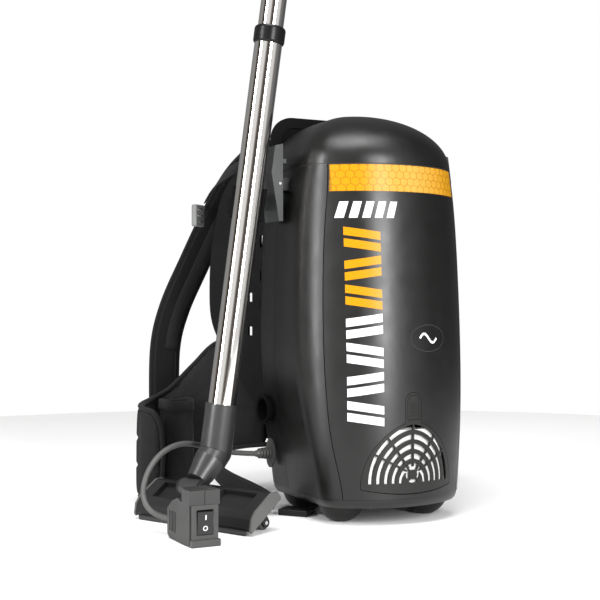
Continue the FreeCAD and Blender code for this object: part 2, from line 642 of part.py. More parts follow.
def make_head():
    """Floor head in its own frame (x along it, y front to back, z up), then leaned on its front lip."""
    length, cap = size("head_length"), size("cap_thickness")
    parts = {}
    cover = head_prism(head_profile(), cap, length - 2 * cap)
    for near, far in ((22, 66), (130, length - 22)):
        cover = cover.cut(slab((near, 23, 12.5), (far, 54, 30)))
    cover = cover.cut(slab((12, 20, 0), (length - 12, 32, 6.4)))
    pivot, half = PIVOT_LOCAL, size("knuckle_length") / 2
    for sign in (-1, 1):
        near = pivot.x + sign * (half + 0.4)
        far = near + sign * 6
        ear = slab((min(near, far), pivot.y - 10, 10), (max(near, far), pivot.y + 10, pivot.z))
        ear = ear.fuse(Part.makeCylinder(10, 6, Vector(min(near, far), pivot.y, pivot.z), Vector(1, 0, 0)))
        cover = cover.fuse(ear)
    pin_radius = size("pivot_pin_radius")
    pin_length = size("knuckle_length") + 12.8
    pin_start = Vector(pivot.x - pin_length / 2, pivot.y, pivot.z)
    cover = cover.cut(Part.makeCylinder(pin_radius, pin_length, pin_start, Vector(1, 0, 0)))
    parts["head_cover"] = cover
    parts["head_pivot_pin"] = Part.makeCylinder(pin_radius, pin_length, pin_start, Vector(1, 0, 0))
    ends = [head_prism(head_profile(1.0), start, cap) for start in (0, length - cap)]
    parts["head_end_caps"] = Part.makeCompound(ends)
    plates = [slab((cap + 2, y, 1), (length - cap - 2, y + depth, 2.9)) for y, depth in ((8, 11), (50, 14))]
    parts["head_sole_strips"] = Part.makeCompound(plates)
    parts["head_lip"] = slab((10, -4, -1), (length - 10, -0.2, 5))

    tilt = math.radians(size("head_tilt"))
    floor_drop = HEAD_ORIGIN.z - size("wheel_radius")
    wheel_y = 45 * math.cos(tilt) - floor_drop * math.sin(tilt)
    wheel_z = -45 * math.sin(tilt) - floor_drop * math.cos(tilt)
    yokes = []
    for x in (24, length - 24):
        for sign in (-1, 1):
            inner_x = x + sign * (size("wheel_width") / 2 + 0.5)
            outer_x = inner_x + sign * 3
            ear = slab((min(inner_x, outer_x), wheel_y - 6, wheel_z), (max(inner_x, outer_x), wheel_y + 6, 6.0))
            ear = ear.fuse(Part.makeCylinder(6, 3, Vector(min(inner_x, outer_x), wheel_y, wheel_z), Vector(1, 0, 0)))
            yokes.append(ear)
    axles = []
    for x in (24, length - 24):
        axle_start = Vector(x - size("wheel_width") / 2 - 3.5, wheel_y, wheel_z)
        axles.append(Part.makeCylinder(size("wheel_axle_radius"), size("wheel_width") + 7, axle_start, Vector(1, 0, 0)))
    for yoke in yokes:
        for axle in axles:
            yoke = yoke.cut(axle)
        parts["head_cover"] = parts["head_cover"].fuse(yoke)
    parts["wheel_axles"] = Part.makeCompound(axles)
    for node, shape in parts.items():
        item = doc.addObject("Part::Feature", node)
        item.Shape = shape
        item.Placement = head_place
        keep(node, item)
    for word, x in (("rear", 24), ("front", length - 24)):
        wheel = padded(f"head_wheel_{word}", "Sizes.wheel_width",
                       ["Sizes.wheel_radius", "Sizes.wheel_axle_radius + Sizes.running_gap"], fillet="1.5")
        start = head_place.multVec(Vector(x - size("wheel_width") / 2, wheel_y, wheel_z))
        wheel.Placement = Placement(start, head_place.Rotation * Rotation(Vector(0, 1, 0), 90))
        keep(f"head_wheel_{word}", wheel)
        print("wheel", word, [round(c, 3) for c in head_place.multVec(Vector(x, wheel_y, wheel_z))])


# ---------------------------------------------------------------------------- remote switch and its lead
BOX_CORNER = Vector(-320.5, -138.0, 0.0)


def make_switch():
    width, depth, height = size("box_width"), size("box_depth"), size("box_height")
    x, y = BOX_CORNER.x, BOX_CORNER.y
    middle = x + width / 2
    block_z = height + size("block_height")
    profile = [(y, 2), (y, height), (y + 24, height), (y + 40, height + 4), (y + 58, height - 2),
               (y + depth, height - 14), (y + depth, 6), (y + depth - 8, 0), (y + 12, 0)]
    box = polygon_face([Vector(x, b, c) for b, c in profile]).extrude(Vector(width, 0, 0))
    module_width, module_height = size("rocker_width") + 3, size("rocker_height") + 3
    centre_z = 30.0
    box = box.cut(slab((middle - module_width / 2, y - 1, centre_z - module_height / 2),
                       (middle + module_width / 2, y + 26, centre_z + module_height / 2)))
    for rib_number in range(5):
        rib_y = y + 46 + rib_number * 5
        box = box.cut(slab((x - 1, rib_y, 10), (x + 1.2, rib_y + 2.2, 36)))
    grommet_y = y + depth
    shaped("switch_box", box)
    block = slab((x - 1, y - 3, height + 0.1), (x + width + 1, y - 3 + size("block_depth"), block_z))
    block = block.cut(slab((middle - 0.5, y - 4, height - 1), (middle + 0.5, y - 2, block_z + 1)))
    ledge = slab((x + 3, y + 12, block_z - 6), (x + width - 3, y + 34, block_z))
    shaped("switch_clip_block", block.fuse(ledge))
    bezel_w, bezel_h, bezel_d = size("bezel_width"), size("bezel_height"), size("bezel_depth")
    bezel = slab((middle - bezel_w / 2, y - bezel_d, centre_z - bezel_h / 2),
                 (middle + bezel_w / 2, y - 0.1, centre_z + bezel_h / 2))
    open_w, open_h = size("rocker_width") + 1, size("rocker_height") + 2
    bezel = bezel.cut(slab((middle - open_w / 2, y - 10, centre_z - open_h / 2),
                           (middle + open_w / 2, y + 1, centre_z + open_h / 2)))
    bezel = bezel.fuse(slab((middle - bezel_w / 2 - 1, y - 7, 0.5),
                            (middle + bezel_w / 2 + 2, y - 0.1, centre_z - bezel_h / 2)))
    shaped("switch_bezel", bezel)
    face = ("Sizes.rocker_width", "Sizes.rocker_height")
    rocker = padded("rocker", "Sizes.rocker_depth", rectangles=[face], fillet="1")
    lean = Rotation(Vector(1, 0, 0), size("rocker_lean"))
    stand = Rotation(Vector(1, 0, 0), 90)
    pivot = Vector(middle, y + 1, centre_z)
    rocker.Placement = Placement(pivot, lean * stand)
    keep("rocker", rocker)
    module = slab((middle - module_width / 2 + 0.5, y + 8, centre_z - module_height / 2 + 0.5),
                  (middle + module_width / 2 - 0.5, y + 25, centre_z + module_height / 2 - 0.5))
    shaped("switch_module", module)
    exit_way = Vector(-0.42, 0.907, 0).normalize()
    root = Vector(x + 13, grommet_y, 21)
    grommet = Part.makeCone(7.5, 5.5, 18, root - exit_way * 6, exit_way)
    shaped("box_grommet", grommet.cut(slab((x, y, 0), (x + width, grommet_y + 0.1, height))))
    print("rocker pivot", pivot)
    return root + exit_way * 12.5


# Route of the remote lead, from the gland on the rear housing round the neck to the switch box.
def lead_route(start, end):
    return [
        start,
        start + Vector(-40, -1, 3),
        Vector(-219, 50, 97),
        Vector(-258, 38, 107),
        Vector(-294, 22, 100),
        Vector(-319, 12, 78),
        Vector(-330, 5, 52),
        Vector(-331.5, -10, 34),
        end + Vector(-10.4, 21, 1),
        end,
    ]


def lead_path(points):
    """Straight runs joined by tangent arcs; returns the wire and prints each arc's radius."""
    edges = []
    cursor = points[0]
    for before, corner, after in zip(points, points[1:], points[2:]):
        inward, outward = (corner - before), (after - corner)
        shorter = min(inward.Length, outward.Length)
        turn = inward.getAngle(outward)
        setback = 0.45 * shorter
        radius = setback / math.tan(turn / 2)
        into, out = Vector(inward).normalize(), Vector(outward).normalize()
        start, end = corner - into * setback, corner + out * setback
        bisector = (out - into).normalize()
        centre = corner + bisector * (radius / math.cos(turn / 2))
        middle = centre - bisector * radius
        if (start - cursor).Length > 1e-4:
            edges.append(line(cursor, start))
        edges.append(arc(start, middle, end))
        cursor = end
        print("lead arc radius %.1f turn %.0f run %.1f" % (radius, math.degrees(turn), inward.Length))
    edges.append(line(cursor, points[-1]))
    return Part.Wire(edges)


def make_lead(box_end):
    port_y, port_z = 60.0, 82.0
    wall_x = -116.0
    plate = Part.makeCylinder(1, 3, Vector(wall_x - 2, 0, 0), Vector(1, 0, 0))
    stretch = FreeCAD.Matrix()
    stretch.scale(Vector(1, 13, 21))
    plate = plate.transformGeometry(stretch)
    plate.translate(Vector(0, port_y, port_z))
    plate = plate.cut(case_outer)
    start_x = wall_x - 2.1
    rings = []
    length, radius = size("gland_length"), size("gland_radius")
    core = Part.makeCone(radius, size("lead_diameter") / 2 + 0.9, length, Vector(start_x, port_y, port_z),
                         Vector(-1, 0, 0))
    for number in range(4):
        ring_x = start_x - 1 - number * 4.6
        rings.append(Part.makeCylinder(radius + 2 - number * 0.6, 2.6, Vector(ring_x, port_y, port_z),
                                       Vector(-1, 0, 0)))
    shaped("lead_gland", core.fuse(rings).fuse(plate))
    start = Vector(start_x - length - 0.05, port_y, port_z)
    path = lead_path(lead_route(start, box_end + Vector(0, 0.05, 0)))
    lead_radius = size("lead_diameter") / 2
    profile = Part.Wire(Part.makeCircle(lead_radius, start, Vector(-1, 0, 0)))
    tube = path.makePipeShell([profile], True, False)
    expected = math.pi * lead_radius ** 2 * path.Length
    print("lead length %.1f volume ratio %.4f" % (path.Length, tube.Volume / expected))
    shaped("remote_lead", tube)


# ---------------------------------------------------------------------------- carrying frame and harness
def make_frame():
    half, front, thick = size("frame_half_width"), size("frame_front"), size("frame_thickness")
    foot, top = size("frame_foot"), size("frame_top")
    plate = slab((-half, front, foot), (half, front + thick, top))
    corner_edges = [e for e in plate.Edges if e.BoundBox.YLength > thick - 1 and e.BoundBox.ZLength < 1]
    plate = plate.makeFillet(34, corner_edges)
    recess = slab((-half + 16, front - 1, 500), (half - 16, front + 2.5, top - 15))
    through_edges = [e for e in recess.Edges if e.BoundBox.YLength > 3 and e.BoundBox.ZLength < 1]
    recess = recess.makeFillet(20, through_edges)
    plate = plate.cut(recess)

    reach, wing_rim = size("wing_reach"), size("wing_rim")
    outline = [(-14, 500), (30, 516), (58, 492), (80, 462), (92, 420), (reach, 365), (reach + 2, 315),
               (reach - 2, 270), (86, 240), (60, 200), (26, 150), (-14, 130)]
    curve = Part.BSplineCurve()
    curve.interpolate([Vector(u, 0, z) for u, z in outline])
    ends = line(Vector(outline[-1][0], 0, outline[-1][1]), Vector(outline[0][0], 0, outline[0][1]))
    wing_wire = Part.Wire([curve.toShape(), ends])
    wing = Part.Face(wing_wire).extrude(Vector(0, thick - 1, 0))
    inner_wire = wing_wire.makeOffset2D(-wing_rim)
    ridge = Part.Face([wing_wire, inner_wire]).extrude(Vector(0, -3, 0))
    wing = wing.fuse(ridge)
    # Strap slots of the wing: distance from its root, foot height and length of each.
    slots = [(14, 205, 16), (14, 290, 13), (14, 330, 16), (14, 380, 18), (34, 250, 13), (34, 300, 13), (34, 350, 13)]
    for u, z, tall in slots:
        wing = wing.cut(slab((u - 3.5, -10, z), (u + 3.5, 10, z + tall)))
    wing.Placement = Placement(Vector(half, front + 1, 0), Rotation(Vector(0, 0, 1), 180 - size("wing_turn")))
    ahead_of_plate = slab((0, front + thick, 0), (half - 2, 400, 700))
    way_of_lid = slab((0, -50, 470), (150, size("rear_face") + 0.6, 700))
    wing = wing.cut(ahead_of_plate).cut(plate).cut(case_outer).cut(way_of_lid)
    whole = plate.fuse(wing).fuse(mirrored(wing))
    shaped("back_frame", whole)
    pad_front = front + thick + 0.5
    pad_back = pad_front + size("back_pad_thickness")
    shaped("back_pad", rounded_slab((-74, pad_front, 170), (74, pad_back, 500), 7))


def make_harness():
    width, thick = size("strap_width"), size("strap_thickness")
    web, web_thick = size("webbing_width"), size("webbing_thickness")
    strap_path = [(84, 122, 538), (88, 168, 530), (102, 214, 494), (121, 254, 434), (145, 284, 362),
                  (171, 304, 290), (184, 312, 225), (187, 308, 124)]
    strap_faces = [(0.1, 0.2, 1), (0.1, 0.4, 1), (0, 0.8, 0.7), (-0.1, 0.9, 0.4), (-0.15, 0.95, 0.25),
                   (-0.1, 1, 0.15), (0, 1, 0), (0, 1, -0.1)]
    strap = band(strap_path, strap_faces, width, thick)
    shaped("shoulder_strap_right", strap)
    shaped("shoulder_strap_left", mirrored(strap))
    lifter = band([(114, 128, 512), (133, 162, 498), (145, 196, 478), (152, 219, 455)],
                  [(0.79, -0.61, 0), (0.8, -0.5, 0.2), (0.7, 0.1, 0.7), (0.7, 0.3, 0.6)],
                  web * 0.6, web_thick)
    buckle = rounded_slab((-12, -5, -17), (12, 5, 17), 2.5)
    for foot in (-11, -1.5, 8):
        buckle = buckle.cut(slab((-8, -6, foot), (8, 6, foot + 3.5)))
    buckle.Placement = Placement(Vector(160, 231, 434), Rotation(Vector(0, 0, 1), -35))
    lower = band([(186, 300, 126), (165, 252, 98), (126, 200, 88), (88, 151, 100), (62, 100.6, 128)],
                 [(1, 0.3, 0.2), (1, -0.5, 0.1), (1, -0.7, 0), (1, -0.7, 0), (1, -0.5, 0)],
                 web * 0.8, web_thick)
    adjuster = slab((-4, -13, -9), (4, 13, 9))
    for near, far in ((-9, -2), (2, 9)):
        adjuster = adjuster.cut(slab((-5, near, -5), (5, far, 5)))
    adjuster.Placement = Placement(Vector(138, 226, 91), Rotation(Vector(0, 0, 1), -37))
    hip = hip_pad()
    belt = band([(170, 142, 62), (184, 105, 56), (178, 68, 44), (150, 38, 28), (126, 22, 14)],
                [(1, 0.3, 0), (1, 0, 0), (0.9, -0.4, 0.2), (0.6, -0.6, 0.5), (0.3, -0.3, 0.9)],
                size("belt_width") * 0.7, web_thick)
    clasp = rounded_slab((-16, -22, 0), (16, 22, 9), 2)
    clasp.Placement = Placement(Vector(102, 6, 0.2), Rotation(Vector(0, 0, 1), -40))
    shaped("hip_pad_right", hip)
    shaped("hip_pad_left", mirrored(hip))
    pairs = {"load_lifters": lifter, "strap_buckles": buckle, "lower_webbings": lower,
             "strap_adjusters": adjuster, "belt_webbings": belt, "belt_clasps": clasp}
    for node, shape in pairs.items():
        shaped(node, Part.makeCompound([shape, mirrored(shape)]))
    pocket = hip_pocket()
    shaped("hip_pocket", mirrored(pocket))


def upright(stations, thickness):
    """A standing padded sheet: each station holds its place in plan, its lowest and its highest point."""
    wires = []
    for number, (x, y, low, high) in enumerate(stations):
        before, after = stations[max(number - 1, 0)], stations[min(number + 1, len(stations) - 1)]
        run = Vector(after[0] - before[0], after[1] - before[1], 0).normalize()
        out = Vector(run.y, -run.x, 0) * (thickness / 2)
        here = Vector(x, y, 0)
        corners = [here - out + Vector(0, 0, low), here + out + Vector(0, 0, low),
                   here + out + Vector(0, 0, high), here - out + Vector(0, 0, high)]
        wires.append(Part.makePolygon(corners + [corners[0]]))
    return loft(wires)


def hip_pad():
    """Padded wing that flops out sideways from the frame and curls forward at its end."""
    stations = [(97, 114, 84, 236), (124, 150, 78, 246), (150, 184, 66, 240), (176, 208, 42, 208),
                (208, 224, 20, 172), (238, 224, 10, 156), (260, 206, 8, 150), (267, 182, 8, 146),
                (260, 162, 9, 142), (247, 152, 14, 132)]
    return upright(stations, size("hip_thickness"))


def hip_pocket():
    """Open-topped tool pocket sewn to the outside of the hip pad."""
    outer = slab((192, 163, 30), (236, 205, 154))
    inner = slab((196, 167, 35), (232, 201, 160))
    return outer.cut(inner)


latch_bracket = make_latches()
make_case(latch_bracket)
make_feet()
make_lid()
make_exhaust()
make_inside()
make_wand()
make_neck()
make_head()
lead_end = make_switch()
make_lead(lead_end)
make_frame()
make_harness()
doc.recompute()


# ---------------------------------------------------------------------------- origin, checks and files
CORD_NODES = ("remote_lead",)


def footprint():
    boxes = [item.Shape.optimalBoundingBox() for node, item in nodes.items() if node not in CORD_NODES]
    low_x, high_x = min(b.XMin for b in boxes), max(b.XMax for b in boxes)
    low_y, high_y = min(b.YMin for b in boxes), max(b.YMax for b in boxes)
    low_z, high_z = min(b.ZMin for b in boxes), max(b.ZMax for b in boxes)
    print("case-frame box", [round(v, 3) for v in (low_x, high_x, low_y, high_y, low_z, high_z)])
    for node, item in nodes.items():
        if item.Shape.optimalBoundingBox().ZMin < 0.05:
            print("on or below the floor:", node, round(item.Shape.optimalBoundingBox().ZMin, 3))
    return Vector((low_x + high_x) / 2, (low_y + high_y) / 2, low_z)


origin = footprint()
print("origin in the case's frame", origin)
for item in nodes.values():
    item.Placement = Placement(-origin, Rotation()) * item.Placement
doc.recompute()
for item in doc.Objects:
    if "Invalid" in item.State or "Error" in item.State:
        raise SystemExit(f"{item.Label} failed: {item.State}")
for node, item in nodes.items():
    if item.Shape.isNull() or not item.Shape.isValid() or not item.Shape.Solids:
        raise SystemExit(f"{node} is not a valid solid")
    item.Shape.exportStep(f"parts/{node}.step")
print(len(nodes), "sub-parts written")
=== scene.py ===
"""Looks of the backpack vacuum cleaner: materials, printed panel, harness fabrics and the remote lead."""
import math

import bmesh
import bpy
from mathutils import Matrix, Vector
from mathutils.bvhtree import BVHTree


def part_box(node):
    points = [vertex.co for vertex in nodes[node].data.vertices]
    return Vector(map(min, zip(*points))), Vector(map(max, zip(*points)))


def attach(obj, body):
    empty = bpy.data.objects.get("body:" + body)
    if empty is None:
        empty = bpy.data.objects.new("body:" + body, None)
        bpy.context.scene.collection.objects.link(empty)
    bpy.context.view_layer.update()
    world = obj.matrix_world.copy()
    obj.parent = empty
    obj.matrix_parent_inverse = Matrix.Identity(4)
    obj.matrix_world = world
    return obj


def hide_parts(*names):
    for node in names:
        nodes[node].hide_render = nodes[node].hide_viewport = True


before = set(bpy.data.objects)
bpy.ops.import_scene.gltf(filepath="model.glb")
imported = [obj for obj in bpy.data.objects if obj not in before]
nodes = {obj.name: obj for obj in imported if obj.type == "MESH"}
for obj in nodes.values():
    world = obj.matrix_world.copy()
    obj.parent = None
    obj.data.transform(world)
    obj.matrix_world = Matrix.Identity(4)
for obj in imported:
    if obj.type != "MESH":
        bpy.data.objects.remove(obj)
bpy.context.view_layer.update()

MM = 0.001
# The case's own axis stands on the motor's centre line, 18 mm behind which its origin lies.
can_low, can_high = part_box("motor_can")
CASE_X = (can_low.x + can_high.x) / 2
CASE_Y = (can_low.y + can_high.y) / 2 + 18 * MM


def at(x, y, z):
    """A point given in millimetres from the case's own axis, as a point of the row frame in metres."""
    return Vector((CASE_X + x * MM, CASE_Y + y * MM, z * MM))


# ---------------------------------------------------------------------------- materials
def node(tree, kind, inputs=None, **settings):
    """A shader node with its settings; an input is a value or another node's socket."""
    made = tree.nodes.new("ShaderNode" + kind)
    for key, value in settings.items():
        setattr(made, key, value)
    for key, value in (inputs or {}).items():
        if isinstance(value, bpy.types.NodeSocket):
            tree.links.new(value, made.inputs[key])
        else:
            made.inputs[key].default_value = value
    return made


def start(name, rough, metallic=0.0, **sockets):
    """A new material; returns it with its tree, its shader and its object coordinates."""
    made = bpy.data.materials.new(name)
    made.use_nodes = True
    tree = made.node_tree
    shader = tree.nodes["Principled BSDF"]
    shader.inputs["Roughness"].default_value = rough
    shader.inputs["Metallic"].default_value = metallic
    for key, value in sockets.items():
        shader.inputs[key.replace("_", " ")].default_value = value
    place = node(tree, "TexCoord").outputs["Object"]
    return made, tree, shader, place


# How strongly satin, dull and matt mouldings and black cloth mirror light at a right angle.
SATIN, DULL, MATT, CLOTH = ({"Specular_IOR_Level": level} for level in (0.44, 0.2, 0.04, 0.15))


def noise(tree, place, scale, detail=3.0):
    return node(tree, "TexNoise", {"Vector": place, "Scale": scale, "Detail": detail}).outputs["Fac"]


def ranged(tree, value, low, high, start_at=0.3, end_at=0.7):
    return node(tree, "MapRange", {"Value": value, "From Min": start_at, "From Max": end_at,
                                   "To Min": low, "To Max": high}).outputs["Result"]


def tinted(tree, factor, one, other):
    mixed = node(tree, "Mix", {0: factor, 6: (*one, 1), 7: (*other, 1)}, data_type="RGBA")
    return mixed.outputs[2]


def bumped(tree, height, strength, distance, below=None):
    inputs = {"Height": height, "Strength": strength, "Distance": distance}
    if below is not None:
        inputs["Normal"] = below
    return node(tree, "Bump", inputs).outputs["Normal"]


def stretched(tree, place, scale):
    return node(tree, "Mapping", {"Vector": place, "Scale": scale}).outputs["Vector"]


def plastic(name, color, rough, grain=1500.0, depth=0.00004, tone=0.12, **sockets):
    """Satin moulded plastic: spark-eroded grain, faint flow marks and rubbed, duller patches."""
    made, tree, shader, place = start(name, rough, **sockets)
    patch = noise(tree, place, 9.0, 4.0)
    lighter = tuple(c * (1 + tone) + 0.001 for c in color)
    darker = tuple(c * (1 - tone) for c in color)
    tree.links.new(tinted(tree, patch, darker, lighter), shader.inputs["Base Color"])
    gloss = ranged(tree, noise(tree, place, 38.0, 5.0), rough - 0.03, rough + 0.05)
    tree.links.new(gloss, shader.inputs["Roughness"])
    fine = bumped(tree, noise(tree, place, grain, 2.0), 0.35, depth)
    wavy = bumped(tree, noise(tree, place, 5.0, 1.0), 0.25, 0.0006, fine)
    tree.links.new(wavy, shader.inputs["Normal"])
    return made


def rubber(name, color, rough=0.55):
    """Matt rubber with a dusty bloom."""
    made, tree, shader, place = start(name, rough)
    bloom = noise(tree, place, 60.0, 6.0)
    dusty = tuple(c * 1.6 + 0.01 for c in color)
    tree.links.new(tinted(tree, bloom, color, dusty), shader.inputs["Base Color"])
    tree.links.new(bumped(tree, noise(tree, place, 900.0, 2.0), 0.3, 0.0001), shader.inputs["Normal"])
    return made


def metal(name, color, rough, streak, depth=0.00002, metallic=1.0):
    """Polished or brushed metal; streak stretches its fine lines along the part."""
    made, tree, shader, place = start(name, rough, metallic)
    lines = noise(tree, stretched(tree, place, streak), 220.0, 4.0)
    tree.links.new(ranged(tree, lines, rough * 0.75, rough * 1.5), shader.inputs["Roughness"])
    smudge = noise(tree, place, 16.0, 5.0)
    tree.links.new(tinted(tree, smudge, tuple(c * 0.93 for c in color), color), shader.inputs["Base Color"])
    tree.links.new(bumped(tree, lines, 0.2, depth), shader.inputs["Normal"])
    return made


def woven(name, color, scale=900.0, rough=0.85, fuzz=0.25, depth=0.0003):
    """Plain-woven nylon: crossing threads, slubs and a soft sheen."""
    made, tree, shader, place = start(name, rough, Sheen_Weight=fuzz, Sheen_Roughness=0.5, **CLOTH)
    voronoi = node(tree, "TexVoronoi", {"Vector": place, "Scale": scale, "Randomness": 0.35})
    threads = voronoi.outputs["Distance"]
    slub = noise(tree, place, 120.0, 4.0)
    worn = noise(tree, place, 11.0, 4.0)
    bleached = tuple(c * 1.7 + 0.001 for c in color)
    base = tinted(tree, ranged(tree, threads, 0.0, 1.0, 0.1, 0.6), bleached, color)
    faded = node(tree, "Mix", {0: ranged(tree, worn, 0.0, 0.45), 6: base, 7: (*bleached, 1)},
                 data_type="RGBA").outputs[2]
    tree.links.new(faded, shader.inputs["Base Color"])
    weave = bumped(tree, threads, 0.8, depth)
    tree.links.new(bumped(tree, slub, 0.4, 0.0006, weave), shader.inputs["Normal"])
    return made


def along_uv(name, color, kind, rough=0.8, fuzz=0.25):
    """Cloth whose pattern follows the strap: 'herringbone' air mesh, 'ribbed' webbing or 'tape' binding."""
    made, tree, shader, place = start(name, rough, Sheen_Weight=fuzz, Sheen_Roughness=0.45, **CLOTH)
    uv = node(tree, "TexCoord").outputs["UV"]
    parts = node(tree, "SeparateXYZ", {"Vector": uv})
    length, across = parts.outputs["X"], parts.outputs["Y"]

    def waves(value, per_metre):
        turned = node(tree, "Math", {0: value, 1: per_metre * 2 * math.pi}, operation="MULTIPLY").outputs[0]
        return node(tree, "Math", {0: turned}, operation="SINE").outputs[0]

    if kind == "herringbone":
        fold = node(tree, "Math", {0: across, 1: 0.0045}, operation="PINGPONG").outputs[0]
        slanted = node(tree, "Math", {0: length, 1: fold}, operation="ADD").outputs[0]
        height = waves(slanted, 480.0)
        voronoi = node(tree, "TexVoronoi", {"Vector": uv, "Scale": 620.0, "Randomness": 0.15})
        holes = voronoi.outputs["Distance"]
        pattern = node(tree, "Math", {0: height, 1: holes}, operation="MULTIPLY_ADD")
        pattern.inputs[2].default_value = 0.3
        height, depth = pattern.outputs[0], 0.0005
    elif kind == "ribbed":
        cross = node(tree, "Math", {0: waves(length, 700.0), 1: waves(across, 520.0)}, operation="MULTIPLY")
        height, depth = cross.outputs[0], 0.0004
    else:
        height, depth = waves(length, 900.0), 0.0003
    light = tuple(c * 2.2 + 0.0015 for c in color)
    shade = ranged(tree, height, 0.0, 1.0, -0.7, 0.9)
    tree.links.new(tinted(tree, shade, color, light), shader.inputs["Base Color"])
    weave = bumped(tree, height, 0.7, depth)
    tree.links.new(bumped(tree, noise(tree, place, 70.0, 4.0), 0.3, 0.0008, weave), shader.inputs["Normal"])
    return made


def fleece(name, color, scale=500.0):
    """Non-woven felt, card or paper: matted fibres."""
    made, tree, shader, place = start(name, 0.95)
    fibres = noise(tree, stretched(tree, place, (1.0, 1.0, 0.45)), scale, 6.0)
    tree.links.new(tinted(tree, fibres, tuple(c * 0.75 for c in color), color), shader.inputs["Base Color"])
    tree.links.new(bumped(tree, fibres, 0.7, 0.0005), shader.inputs["Normal"])
    return made


def printed(name, color, middle=None):
    """Screen-printed vinyl; with middle, a painted highlight lightens the colour towards the panel's centre
    line.
    """
    made, tree, shader, place = start(name, 0.34, **DULL)
    grain = noise(tree, place, 700.0, 2.0)
    base = tinted(tree, grain, tuple(c * 0.93 for c in color), color)
    if middle is not None:
        side = node(tree, "SeparateXYZ", {"Vector": place}).outputs["X"]
        shifted = node(tree, "Math", {0: side, 1: CASE_X + 0.010}, operation="SUBTRACT").outputs[0]
        off = node(tree, "Math", {0: shifted}, operation="ABSOLUTE").outputs[0]
        # Painted highlight: near the panel's centre line, where the front lamp is mirrored, the print blends
        # into the middle colour.
        painted_highlight = ranged(tree, off, 1.0, 0.0, 0.0, 0.072)
        base = node(tree, "Mix", {0: painted_highlight, 6: base, 7: (*middle, 1)}, data_type="RGBA").outputs[2]
    tree.links.new(base, shader.inputs["Base Color"])
    tree.links.new(bumped(tree, grain, 0.15, 0.00004), shader.inputs["Normal"])
    return made


CASE = plastic("case_plastic", (0.0024, 0.0023, 0.0021), 0.34, **SATIN)
LID = plastic("lid_plastic", (0.0026, 0.0025, 0.0023), 0.33, **SATIN)
REAR = plastic("rear_plastic", (0.0020, 0.0020, 0.0024), 0.38, **SATIN)
FRAME_PLASTIC = plastic("frame_plastic", (0.0040, 0.0040, 0.0044), 0.5, **MATT)
GRILLE = plastic("grille_plastic", (0.016, 0.016, 0.0155), 0.38, **DULL)
LATCH = plastic("latch_plastic", (0.036, 0.040, 0.038), 0.36, depth=0.00008)
FOOT = plastic("foot_plastic", (0.012, 0.0115, 0.011), 0.42, **DULL)
SWITCH = plastic("switch_plastic", (0.015, 0.015, 0.0145), 0.5, depth=0.00012)
BEZEL = plastic("bezel_plastic", (0.028, 0.028, 0.027), 0.4)
ROCKER = plastic("rocker_plastic", (0.005, 0.005, 0.005), 0.18)
WAND_PLASTIC = plastic("wand_plastic", (0.022, 0.022, 0.023), 0.33)
COLLAR = plastic("collar_plastic", (0.005, 0.005, 0.005), 0.3, **DULL)
HEAD = plastic("head_plastic", (0.013, 0.013, 0.0128), 0.42, **DULL)
CAP = plastic("cap_plastic", (0.075, 0.075, 0.073), 0.4)
BUCKLE = plastic("buckle_plastic", (0.15, 0.155, 0.15), 0.4)
CLASP = plastic("clasp_plastic", (0.008, 0.008, 0.008), 0.42, **DULL)
SEAL = rubber("seal_rubber", (0.012, 0.012, 0.012))
WHEEL = rubber("wheel_rubber", (0.030, 0.030, 0.030))
CABLE = rubber("cable_rubber", (0.040, 0.040, 0.039), 0.5)
CHROME = metal("chrome_tube", (0.80, 0.78, 0.75), 0.07, (1.0, 1.0, 0.02))
STEEL = metal("steel", (0.55, 0.55, 0.55), 0.25, (1.0, 1.0, 0.2))
CAST = metal("motor_metal", (0.60, 0.60, 0.60), 0.42, (1.0, 1.0, 1.0), 0.0002)
FILTER = fleece("filter_media", (0.80, 0.80, 0.78))
PAPER = fleece("bag_paper", (0.72, 0.69, 0.60), 300.0)
CARD = fleece("bag_card", (0.50, 0.38, 0.24), 260.0)
MESH = along_uv("strap_mesh", (0.0030, 0.0028, 0.0028), "herringbone", fuzz=0.05)
TAPE = along_uv("binding_tape", (0.0055, 0.0053, 0.0053), "tape", fuzz=0.05)
WEBBING = along_uv("webbing", (0.0060, 0.0060, 0.0063), "ribbed", 0.7, 0.05)
NYLON = woven("hip_nylon", (0.0055, 0.0055, 0.0060), fuzz=0.05)
LINING = woven("back_mesh", (0.0060, 0.0060, 0.0064), 520.0, fuzz=0.06, depth=0.0006)
WHITE_PRINT = printed("white_print", (0.62, 0.62, 0.61))
AMBER_PRINT = printed("amber_print", (0.47, 0.205, 0.001))
# The second colour of each band material is a painted highlight at the panel's centre line.
BAND_LINE = printed("band_line", (0.29, 0.125, 0.002), (0.36, 0.18, 0.02))
BAND_CELL = printed("band_cell", (0.46, 0.208, 0.002), (0.50, 0.275, 0.05))
GREY_PRINT = printed("grey_print", (0.035, 0.035, 0.035))
THREAD = fleece("stitch_thread", (0.030, 0.030, 0.030), 1500.0)

